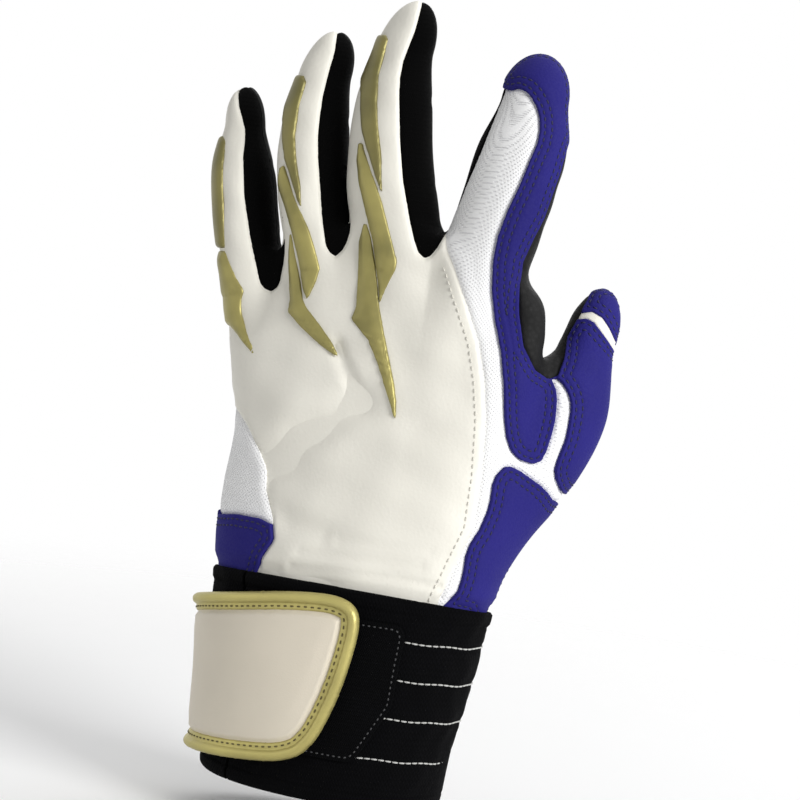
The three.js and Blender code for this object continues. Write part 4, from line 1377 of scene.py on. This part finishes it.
class GLOVE_OT_palm(bpy.types.Operator):
    """Black leather over the palm and the inside of every digit"""
    bl_idname = "glove.palm"
    bl_label = "Palm"

    def execute(self, context):
        nodes = {name: [f"{name}_underside"] for name in BODIES[1:]}
        nodes["hand"] = ["palm_panel"]
        nodes["thumb"] += ["thumb_inner_side", "thumb_outer_side"]
        palm = regions()["palm"]
        x, y, z = palm.co.T
        ball = BALL_RADIUS - np.hypot((x - BALL_X) * BALL_ACROSS, (z - BALL_Z) * BALL_ALONG)
        ball, palm = halves(palm, np.where((y > -2) & (z < 150), ball, OUTSIDE))
        x, y, z = palm.co.T
        heel = np.where(x < 36, 80 + 0.12 * (x + 40) - z, OUTSIDE) + 3.5 * np.sin((x + 40) * 0.05)
        heel, palm = halves(palm, heel)
        spread("palm_leather", formed(palm, creased_palm(sewn(0.5, 0.15))), "palm", "black_leather", nodes)
        for name, skin, node in (("thumb_ball_leather", ball, "thumb_ball"),
                                 ("heel_pad_leather", heel, "palm_heel_pad")):
            spread(name, formed(skin, creased_palm(sewn(0.5, 0.7))), "palm", "black_leather",
                   {"hand": [node]}, [(1.6, "dark_thread", on_the_palm)])
        return {"FINISHED"}


def on_the_palm(co, no):
    return (no[:, 1] > 0.3) & (co[:, 2] > 60)


def creased_palm(form):
    """A form with the palm's folds: one below each finger, one across the palm and two along each finger."""
    def raised(gap, skin):
        x, y, z = skin.co.T
        out = form(gap, skin)
        folds = (z - root_line(x) + 4 + 1.5 * np.sin(x * 0.3), z - 128 + 0.2 * x + 3 * np.sin(x * 0.08))
        for fold in folds:
            out = out - FOLD_DEPTH * np.exp(-(fold / FOLD_WIDTH) ** 2) * smooth(0, 6, y)
        for finger in FINGERS.values():
            t = (z - finger["z"]) / finger["length"]
            near = np.exp(-((x - finger["x"] - finger["sway"] * t) / 8) ** 2) * smooth(0, 4, y)
            for joint in JOINT_SHARES:
                away = (t - joint) * finger["length"] / JOINT_WIDTH
                out = out - JOINT_DEPTH * np.exp(-away ** 2) * near
        wave = uneven(skin, (0.31, 0.13, 0.22), (-0.17, 0.29, 0.26))
        return out + 0.2 * wave * smooth(0, 5, gap)
    return raised


class GLOVE_OT_gussets(bpy.types.Operator):
    """Stretch gussets along the sides of the fingers"""
    bl_idname = "glove.gussets"
    bl_label = "Gussets"

    def execute(self, context):
        nodes = {name: [f"{name}_thumb_side", f"{name}_outer_side"] for name in ("little", "ring", "middle")}
        nodes["index"] = ["index_outer_side"]
        nodes["hand"] = ["little_ring_web", "ring_middle_web", "middle_index_web"]
        spread("stretch", formed(regions()["stretch"], sewn(0.5, 0.0, -0.45)), "stretch", "black_stretch",
               nodes)
        return {"FINISHED"}


# Gold trim: its body, the angle to which it wraps round the finger, its height, the slope of its roof,
# its fold, its ribs and its outline in the frame
GOLD = (
    ("little_gold_strip", "little", -58, 0.8, 0.9, None, (), (
        (180, 139), (224, 136), (226, 141), (223, 165), (223, 192), (225, 236), (225, 248), (180, 248),
    )),
    ("little_gold_blade", "little", -58, 1.2, 0.5, 293, ((236, 345), (236, 337)), (
        (180, 249), (225, 251), (230, 264), (236, 277), (244, 291), (241, 300), (241, 313), (247, 332),
        (254, 349), (256, 357), (246, 346), (231, 326), (180, 320),
    )),
    ("ring_gold_strip", "ring", None, 0.8, 0.9, None, (), (
        (294, 78), (299, 75), (304, 76), (306, 82), (299, 107), (295, 134), (297, 165), (301, 187),
        (302, 211), (297, 200), (290, 175), (285, 160), (283, 140), (284, 120), (289, 93),
    )),
    ("ring_gold_blade", "ring", None, 1.3, 0.5, 268, (), (
        (281, 166), (284, 166), (287, 175), (298, 205), (309, 230), (316, 252), (320, 268), (316, 281),
        (307, 300), (303, 290), (299, 262), (293, 236), (285, 206), (279, 188), (279, 176),
    )),
    ("ring_gold_tail", "hand", None, 1.3, 0.55, None,
     ((300, 316), (305, 322), (311, 329), (317, 336), (324, 343)), (
        (291, 231), (294, 244), (299, 275), (303, 300), (307, 308), (318, 322), (332, 343), (339, 357),
        (334, 355), (320, 345), (300, 326), (288, 312), (290, 300), (289, 270), (289, 248),
    )),
    ("middle_gold_strip", "middle", None, 0.8, 0.9, None, (), (
        (372, 46), (374, 39), (380, 35), (386, 35), (388, 39), (379, 74), (377, 102), (379, 129), (382, 162),
        (382, 195), (374, 173), (366, 146), (362, 130), (361, 110), (362, 80), (368, 52),
    )),
    ("middle_gold_blade", "middle", None, 1.4, 0.5, 269, (), (
        (359, 142), (362, 143), (364, 150), (372, 171), (382, 203), (390, 233), (397, 261), (396, 269),
        (386, 290), (379, 304), (378, 284), (373, 242), (366, 213), (359, 183), (357, 160),
    )),
    ("middle_gold_tail", "hand", None, 1.4, 0.5, None,
     ((365, 335), (371, 346), (378, 360), (383, 372), (388, 385)), (
        (364, 223), (367, 223), (370, 234), (374, 258), (378, 286), (379, 306), (383, 328), (388, 354),
        (394, 384), (396, 402), (395, 423), (391, 407), (384, 385), (377, 362), (368, 340), (351, 319),
        (356, 307), (358, 274), (359, 242),
    )),
)
GOLD_LEVELS, GOLD_MARGIN = (0.1, 0.25, 0.5, 0.9, 1.4, 2.0, 2.7), 12


def largest(skin):
    """The largest connected part of a skin."""
    label = linked(len(skin.at), edges_of(skin.tri))[skin.tri[:, 0]]
    kinds, counts = np.unique(label, return_counts=True)
    return skin.pick(label == kinds[counts.argmax()])


def gold_piece(name, body, wrap, height, slope, fold, ribs, outline):
    digit = name.split("_")[0]
    (left, top), (right, bottom) = np.min(outline, 0), np.max(outline, 0)
    wrapped_to = outline[-1][1]

    def hidden(skin):
        if wrap is None:
            return never(skin)
        angle, degree = around(digit, skin.co)
        _, y = view_spot(skin.co)
        ends = np.minimum(y - top - 3, wrapped_to - y) * VIEW_SCALE
        return np.where(angle < 0, np.minimum((angle - wrap) * degree, ends), OUTSIDE)

    def raised(gap, part):
        roof = height * np.tanh((gap * slope / height) ** 1.25) ** 0.8
        px, py = view_spot(part.co)
        for rib in ribs:
            roof = roof + 0.3 * np.exp(-(((py - rib[1]) - 0.5 * (px - rib[0])) * VIEW_SCALE / 0.5) ** 2)
        if fold:
            below = (py - fold) * VIEW_SCALE
            roof = roof * (1 - 0.35 * smooth(-0.1, 0.5, below))
            roof = roof + 0.06 * np.clip(below, 0, 8) * smooth(0, 1.5, gap)
        return roof + 0.35 * smooth(0, 0.2, gap)

    surface = regions()["surface"]
    x, y = view_spot(surface.co)
    near = (y > top - GOLD_MARGIN) & (y < bottom + GOLD_MARGIN)
    near &= (x > left - GOLD_MARGIN) & (x < right + GOLD_MARGIN)
    beside = (finger_distance(FINGERS[digit], surface.co) < 2.5) & (wrap is not None)
    near &= (facing_view(surface.no) > 0) | beside
    skin = surface.pick(near[surface.tri].all(1))
    skin, _ = halves(skin, on_view(outline, hidden)(skin))
    nodes = [name, "little_gold_tail"] if name == "little_gold_blade" else [name]
    # Strips take the darker foil, whose darkness is painted dark reflection
    shell(name, formed(largest(skin), raised, GOLD_LEVELS), -0.3, "strip" if "strip" in name else "foil",
          "gold_trim", body, nodes)


class GLOVE_OT_gold(bpy.types.Operator):
    """Gold trim down the backs of three fingers onto the hand"""
    bl_idname = "glove.gold"
    bl_label = "Gold trim"

    def execute(self, context):
        for blade in GOLD:
            gold_piece(*blade)
        return {"FINISHED"}


# Cuff: heights in millimetres, angles round the wrist and the length of a degree there
DEGREE = 0.68
CUFF_TOP, CUFF_SWELL, BINDING = 57.5, 6.5, 4.2
SLIT_ANGLE = -34
KNIT_PROUD, HEM_PROUD, CHANNEL_DEPTH, CHANNEL_WIDTH = 0.9, 1.5, 0.45, 1.1
CUFF_ROWS = (51.0, 39.5, 27.8, 15.3)
ROW_STARTS, ROW_END = (37, 37, 32, 22), 205
STRAP_LOW, STRAP_HIGH = 4.0, 50.5
STRAP_END = (
    (-40, 6.8), (-8, 9.8), (1, 12.2), (7.5, 17.5), (12, 27), (16, 39.5), (18, 52), (16, 59.5), (8, 62.6),
    (-4, 61.8), (-38, 56.4),
)
STRAP_START, WEBBING_START, ANCHOR_START, ANCHOR_END, LOOP_START = -94, -110, -132, -96, -18
LOOP_ENDS, LOOP_LOW, LOOP_HIGH, LOOP_SLANT = (24, 37), 13.5, 56.0, 18
LOOP_BASE, HOOK_BASE, STRAP_BASE, BADGE_BASE = 1.0, 2.1, 3.0, 4.5
BADGE_BORDER, BADGE_HEIGHT, BADGE_INSET, BADGE_LAP, RIDGE_SHARE = 5.6, 2.4, 1.2, 0.2, 0.62
BADGE_LEVELS = (0.12, 0.3, 0.6, 1.0, 1.5, 2.1, 2.6, 3.0, 3.2, 3.4, 3.7, 4.3, 5.0, 5.3)
# The columns that a skin on the cuff has besides
ANGLE, HEIGHT, RIM = 6, 7, 8


def row_height(row, angle):
    """The height of a stitched channel round the cuff, which dips towards the palm."""
    return row - 1.6 * np.sin(np.radians(np.clip(angle - 30, 0, 200))) ** 2 + np.sin(angle * 0.23) * 0.15


def cuff_top(angle):
    return CUFF_TOP + CUFF_SWELL * (1 + np.cos(np.radians(angle))) / 2


def cuff_inward(angle, z):
    """How far the cuff's knit hugs the wrist on the thumb's side, below its top."""
    return -3.0 * smooth(50, 0, z) * smooth(35, 90, angle) * smooth(190, 120, angle)


def grid_squares(rows, columns):
    """The corners of each square in a grid of points."""
    at = np.arange(rows * columns).reshape(rows, columns)
    return np.stack([part.ravel() for part in (at[:-1, :-1], at[1:, :-1], at[1:, 1:], at[:-1, 1:])], 1)


def cuff_skin(start, end, low, high, proud, step=0.9):
    """A skin round the cuff between two angles, with its angle and height as columns."""
    step *= 1
    angles = np.linspace(start, end, max(int((end - start) * 0.72 / step), 4))
    heights = np.linspace(low, high, max(int((high - low) / step), 3))
    angle, z = (grid.ravel() for grid in np.meshgrid(angles, heights, indexing="ij"))
    across = hand_point(angle + 0.5, z, proud) - hand_point(angle - 0.5, z, proud)
    no = unit(np.cross(across, (0, 0, 1.0)))
    squares = grid_squares(len(angles), len(heights))
    tri = np.concatenate([squares[:, :3], squares[:, [0, 2, 3]]])
    return Skin(np.column_stack([hand_point(angle, z, proud), no, angle, z]), tri)


def on_cuff(outline, skin):
    return inside_outline(outline, skin.at[:, ANGLE] * DEGREE, skin.at[:, HEIGHT])


def rounded_outline(corners, radius, count=8):
    """A closed outline in millimetres, from corners by angle and height that are rounded."""
    out = []
    spots = [np.array((angle * DEGREE, z), float) for angle, z in corners]
    for before, spot, after in zip(spots[-1:] + spots[:-1], spots, spots[1:] + spots[:1]):
        one, two = before - spot, after - spot
        one, two = one / np.linalg.norm(one), two / np.linalg.norm(two)
        reach = radius / math.tan(math.acos(np.clip(one @ two, -1, 1)) / 2)
        start, end = spot + one * reach, spot + two * reach
        for n in range(count + 1):
            share = n / count
            bend = (1 - share) ** 2 * start + 2 * share * (1 - share) * spot + share ** 2 * end
            out.append(tuple(bend))
    return out


def strap_outline(start):
    """The strap's outline on the cuff, its corners cut until they are round."""
    start *= DEGREE
    spots = np.array([(start + 3, STRAP_LOW), *((angle * DEGREE, z) for angle, z in STRAP_END),
                      (start + 3, STRAP_HIGH), (start, STRAP_HIGH - 3), (start, STRAP_LOW + 3)])
    for _ in range(3):
        onward = np.roll(spots, -1, 0)
        spots = np.stack([spots * 0.75 + onward * 0.25, spots * 0.25 + onward * 0.75], 1).reshape(-1, 2)
    return [tuple(spot) for spot in spots]


def cuff_sheet(name, area, base, height, outline, finish, slot, body, node, inset=0.0, folds=False):
    """A flat sheet on the cuff inside an outline. area holds two angles and two heights round it."""
    skin = cuff_skin(*area, base)
    skin, _ = halves(skin, on_cuff(outline, skin) - inset)
    skin = formed(skin, overlaid(height, 0.35, tucked=False), (0.15, 0.35, 0.7, 1.2, 2.0))
    shell(name, skin, 0, finish, slot, body, [node], folds)
    return skin


class GLOVE_OT_cuff(bpy.types.Operator):
    """Knit cuff with its bound edge, hem, stitched channels, anchor and pull tab"""
    bl_idname = "glove.cuff"
    bl_label = "Cuff"

    def execute(self, context):
        start, end = SLIT_ANGLE + 0.9, SLIT_ANGLE + 359.1

        def knit(_, part):
            angle, z = part.at[:, ANGLE], part.at[:, HEIGHT]
            down = cuff_top(angle) - z
            out = KNIT_PROUD + cuff_inward(angle, z)
            out = out + 0.5 * smooth(BINDING + 0.3, BINDING - 0.5, down) - 0.7 * smooth(0.9, 0, down)
            out = out - 0.35 * np.exp(-((down - BINDING) / 0.5) ** 2)
            sewn_side = smooth(14, 24, angle) * smooth(215, 205, angle)
            for row in CUFF_ROWS:
                away = (z - row_height(row, angle)) / CHANNEL_WIDTH
                out = out - CHANNEL_DEPTH * np.exp(-away ** 2) * sewn_side
            return out + np.sin(angle * 0.35 + np.sin(z * 0.4) * 1.5) * 0.12

        def band(_, part):
            angle, z = part.at[:, ANGLE], part.at[:, HEIGHT]
            return HEM_PROUD + cuff_inward(angle, z) - 1.1 * (np.abs(z / HEM_HEIGHT * 2 - 1)) ** 3

        def anchor(gap, part):
            share = (part.at[:, ANGLE] - ANCHOR_START) / (ANCHOR_END - 2 - ANCHOR_START)
            left = np.maximum(0.5 - gap, 0)
            return mix(0.8, 1.9, np.clip(share, 0, 1)) - 0.5 + np.sqrt(np.maximum(0.25 - left ** 2, 0))

        skin = cuff_skin(start, end, HEM_HEIGHT - 0.8, CUFF_TOP + CUFF_SWELL + 1, 0)
        skin, _ = halves(skin, cuff_top(skin.at[:, ANGLE]) - skin.at[:, HEIGHT])
        shell("cuff_knit", formed(skin, knit, (0.4,)), -1.4, "knit", "cuff_knit", nodes=["cuff"])
        skin = formed(cuff_skin(start, end, 0, HEM_HEIGHT, 0), band, (0.4, 0.9))
        shell("hem", skin, -1.6, "knit", "cuff_knit", nodes=["cuff_hem"])
        lines = []
        for row, first in zip(CUFF_ROWS, ROW_STARTS):
            angle = np.linspace(first, ROW_END, 260)
            z = row_height(row, angle)
            no = hand_point(angle, z, 2) - hand_point(angle, z, 0)
            lines.append((hand_point(angle, z, 0.66 + cuff_inward(angle, z)), unit(no)))
        sew("cuff_rows", lines, "thread", "hand", pitch=2.1, share=0.93, radius=0.27)
        low, high = STRAP_LOW + 2, STRAP_HIGH - 2
        outline = rounded_outline(((ANCHOR_START, low), (ANCHOR_END, low), (ANCHOR_END, high),
                                   (ANCHOR_START, high)), 1.5)
        skin = cuff_skin(ANCHOR_START - 1, ANCHOR_END + 1, 4, 52, LOOP_BASE)
        skin, _ = halves(skin, on_cuff(outline, skin))
        skin = formed(skin, anchor, (0.2, 0.5))
        shell("anchor", skin, 0, "knit", "cuff_knit", nodes=["strap_anchor"])
        for row in (1.6, 3.6):
            sew(f"anchor_stitches_{row}", level_lines(skin, row), "dark_thread", "hand",
                radius=0.26)
        pull_tab()
        return {"FINISHED"}


# Pull tab: its angle, half its width, its two heights, its fold and its thickness
TAB_ANGLE, TAB_HALF, TAB_LOW, TAB_TOP, TAB_FOLD, TAB_WALL = 38.0, 9.6, -11.8, 4.0, 1.0, 0.75
TAB_ROWS, TAB_COLUMNS = 30, 25


def pull_tab():
    """A loop of webbing sewn inside the hem, folded at its low end."""
    reach = float(degrees_for(TAB_HALF, TAB_ANGLE, 0.0))
    angles = np.linspace(TAB_ANGLE - reach, TAB_ANGLE + reach, TAB_COLUMNS)
    loop = []
    for turn in (np.linspace(0, 1, TAB_ROWS) - 0.5) * 2:
        z = TAB_LOW + TAB_FOLD + (TAB_TOP - TAB_LOW - TAB_FOLD) * abs(turn) ** 1.1
        side = 0.62 * math.copysign(min(abs(turn) * 6, 1), turn)
        co = hand_point(angles, max(z, 0.0), -2.55 + side)
        co[:, 2] = z
        loop.append(co)
    uv = np.stack(np.meshgrid(np.arange(TAB_ROWS) * 0.0011, np.linspace(0, 2 * TAB_HALF * MM, TAB_COLUMNS),
                              indexing="ij"), -1)
    faces = grid_squares(TAB_ROWS, TAB_COLUMNS)[:, [0, 3, 2, 1]]
    piece = new_piece("webbing", np.reshape(loop, (-1, 3)), faces, finish_of("knit"),
                      uv=uv.reshape(-1, 2))
    bpy.ops.object.select_all(action="DESELECT")
    bpy.context.view_layer.objects.active = piece
    piece.select_set(True)
    wall = piece.modifiers.new("wall", "SOLIDIFY")
    wall.thickness, wall.offset = TAB_WALL * MM, 0
    edge = piece.modifiers.new("edge", "BEVEL")
    edge.width, edge.segments = 0.2 * MM, 2
    for modifier in ("wall", "edge"):
        bpy.ops.object.modifier_apply(modifier=modifier)
    piece.data.shade_smooth()
    carried(piece, "hand")
    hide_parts("pull_tab")


class GLOVE_OT_strap(bpy.types.Operator):
    """Strap with its hook patch, the loop patch under it, and the moulded badge in its gold frame"""
    bl_idname = "glove.strap"
    bl_label = "Strap and badge"

    def execute(self, context):
        loop_outline = rounded_outline(
            ((LOOP_START, LOOP_LOW), (LOOP_ENDS[0], LOOP_LOW), (LOOP_ENDS[1], LOOP_LOW + LOOP_SLANT),
             (LOOP_ENDS[1], LOOP_HIGH), (LOOP_START, LOOP_HIGH)), 5)
        skin = cuff_sheet("loops", (LOOP_START - 1, LOOP_ENDS[1] + 1, 12, 58), LOOP_BASE, 0.9, loop_outline,
                          "pile", "fastener", "hand", "loop_patch")
        sew("loop_stitches", level_lines(skin, 1.4), "grey_thread", "hand", pitch=1.7, share=0.55,
            radius=0.24)
        cuff_sheet("hooks", (LOOP_START, 21, 6, 66), HOOK_BASE, 0.6, strap_outline(LOOP_START), "hooks",
                   "fastener", "strap", "hook_patch", inset=5.5)
        cuff_sheet("strap_webbing", (WEBBING_START, 22, 2, 66), STRAP_BASE, 1.2, strap_outline(WEBBING_START),
                   "knit", "cuff_knit", "strap", "strap", inset=BADGE_INSET, folds=True)
        outline = strap_outline(STRAP_START)
        badge = cuff_skin(STRAP_START - 1, 22, 2, 66, BADGE_BASE, 0.7)
        badge, _ = halves(badge, on_cuff(outline, badge))
        badge = badge.add(rim_distance(badge))
        gap = badge.at[:, RIM]
        badge.at[:, RIM] = np.where(gap > FAR - 0.1, np.maximum(on_cuff(outline, badge), FAR), gap)

        def border(_, part):
            over = np.clip(part.at[:, RIM] / BADGE_BORDER, 0, 1)
            ridge = BADGE_HEIGHT * (1 - np.abs(np.clip(over / RIDGE_SHARE, 0, 1) * 2 - 1) ** 2.6) ** 0.7
            ledge = 1.35 - 0.35 * over
            return np.maximum(0.4 + ridge * 0.85, np.where(over > 0.4, ledge, 0)) - 0.9 * smooth(0.9, 1, over)

        def panel(gap, _):
            return 0.4 + 0.9 * smooth(0, 1.6, gap) + 0.25 * smooth(1.5, 6, gap)

        skin, _ = halves(badge, BADGE_BORDER - badge.at[:, RIM])
        for level in BADGE_LEVELS:
            skin, _ = cut(skin, skin.at[:, RIM] - level)
        skin = formed(skin, border, ())
        shell("badge_rim", skin, 0, "gold", "gold_trim", "strap", ["badge_frame"])
        skin.at[:, GAP] = skin.at[:, RIM]
        sew("badge_stitches", level_lines(skin, 4.3), "gold_thread", "strap", pitch=2.2,
            share=0.6, radius=0.26)
        skin, _ = halves(badge, badge.at[:, RIM] - (BADGE_BORDER - BADGE_LAP))
        shell("badge_centre", formed(skin, panel, (0.3, 0.7, 1.2, 1.8)), 0, "cream", "badge_cream", "strap",
              ["badge_panel"])
        return {"FINISHED"}


# Lamps: place and side in metres, and power in watts
LAMPS = {
    "key": ((1.55, -0.62, 0.7), 0.8, 28.0), "fill": ((-1.2, -0.8, 0.5), 1.1, 1.2),
    "top": ((0.25, 0.5, 1.3), 0.8, 5.0), "back": ((-0.2, 1.2, 0.5), 1.0, 4.0),
}
LAMP_TARGET = Vector((0, 0, 0.12))
SENSOR_WIDTH, AMBIENT, FLOOR_HEIGHT, FLOOR_RADIUS, FLOOR_FADE = 36, 0.37, -0.0128, 0.7, (0.22, 0.62)


class GLOVE_OT_stage(bpy.types.Operator):
    """Pale floor, soft studio light and the camera"""
    bl_idname = "glove.stage"
    bl_label = "Stage"

    def execute(self, context):
        scene = context.scene
        data = bpy.data.cameras.new("camera")
        camera = bpy.data.objects.new("camera", data)
        scene.collection.objects.link(camera)
        right, up, ahead = view_axes()
        turn = Matrix((right, up, -ahead)).transposed().to_4x4()
        camera.matrix_world = Matrix.Translation(Vector((VIEW_TARGET - ahead * VIEW_DISTANCE) * MM)) @ turn
        data.sensor_width = SENSOR_WIDTH
        data.lens = data.sensor_width * VIEW_DISTANCE / (FRAME_SIDE * VIEW_SCALE)
        data.shift_x = (FRAME_SIDE / 2 - TARGET_SPOT[0]) / FRAME_SIDE
        data.shift_y = (TARGET_SPOT[1] - FRAME_SIDE / 2) / FRAME_SIDE
        scene.camera = camera
        scene.view_settings.view_transform = "Standard"
        for name, (where, side, power) in LAMPS.items():
            lamp = bpy.data.lights.new(name, "AREA")
            lamp.energy, lamp.size = power, side
            holder = bpy.data.objects.new(name, lamp)
            holder.location = where
            holder.rotation_euler = (LAMP_TARGET - Vector(where)).to_track_quat("-Z", "Y").to_euler()
            scene.collection.objects.link(holder)
        scene.world = bpy.data.worlds.new("studio")
        scene.world.use_nodes = True
        studio = Tree(scene.world.node_tree)
        camera_ray, glossy, through_glass = (studio.node("ShaderNodeLightPath", out=f"Is {ray} Ray")
                                             for ray in ("Camera", "Glossy", "Transmission"))
        seen = studio.node("ShaderNodeMath", {"operation": "MAXIMUM"}, {0: camera_ray, 1: glossy})
        seen = studio.node("ShaderNodeMath", {"operation": "MAXIMUM"}, {0: seen, 1: through_glass})
        level = studio.node("ShaderNodeMapRange", {}, {"Value": seen, "To Min": AMBIENT, "To Max": 1})
        sky = studio.nodes["Background"].inputs
        studio.feed(sky["Strength"], level)
        sky["Color"].default_value = (1, 1, 1, 1)
        bpy.ops.object.select_all(action="DESELECT")
        bpy.ops.mesh.primitive_circle_add(vertices=96, radius=FLOOR_RADIUS, fill_type="NGON",
                                          location=(0, 0, FLOOR_HEIGHT))
        floor = context.object
        floor.name = "floor"
        ground = Finish("floor", (0.95, 0.95, 0.95), 0.9)
        reach = ground.node("ShaderNodeVectorMath", {"operation": "LENGTH"}, {0: ground.place()}, out="Value")
        clear = ground.node("ShaderNodeBsdfTransparent")
        solid = Number(ground, ground.shader.outputs[0])
        fade = ground.step(reach, *FLOOR_FADE)
        faded = ground.node("ShaderNodeMixShader", {}, {0: fade, 1: solid, 2: clear})
        ground.feed(ground.nodes["Material Output"].inputs["Surface"], faded)
        floor.data.materials.append(ground.material)
        return {"FINISHED"}


class GLOVE_PT_pieces(bpy.types.Panel):
    """Lists the glove's pieces and its colours"""
    bl_idname = "GLOVE_PT_pieces"
    bl_label = "Batting glove"
    bl_space_type = "VIEW_3D"
    bl_region_type = "UI"
    bl_category = "Glove"

    def draw(self, context):
        for group in (context.scene.glove_sizes, context.scene.glove_colours):
            for key in group.bl_rna.properties.keys():
                if key not in ("rna_type", "name"):
                    self.layout.prop(group, key)
        for one in PIECES:
            self.layout.operator(one.bl_idname)


PIECES = (GLOVE_OT_stage, GLOVE_OT_back, GLOVE_OT_mesh, GLOVE_OT_overlays, GLOVE_OT_palm, GLOVE_OT_gussets,
          GLOVE_OT_gold, GLOVE_OT_cuff, GLOVE_OT_strap)
CLASSES = (GloveColours, GloveSizes, *PIECES, GLOVE_PT_pieces)


def register():
    for one in CLASSES:
        bpy.utils.register_class(one)
    bpy.types.Scene.glove_colours = bpy.props.PointerProperty(type=GloveColours)
    bpy.types.Scene.glove_sizes = bpy.props.PointerProperty(type=GloveSizes)


def unregister():
    del bpy.types.Scene.glove_sizes
    del bpy.types.Scene.glove_colours
    for one in reversed(CLASSES):
        bpy.utils.unregister_class(one)


def main():
    register()
    for one in PIECES:
        getattr(bpy.ops.glove, one.bl_idname.split(".")[1])()


if __name__ == "__main__":
    main()
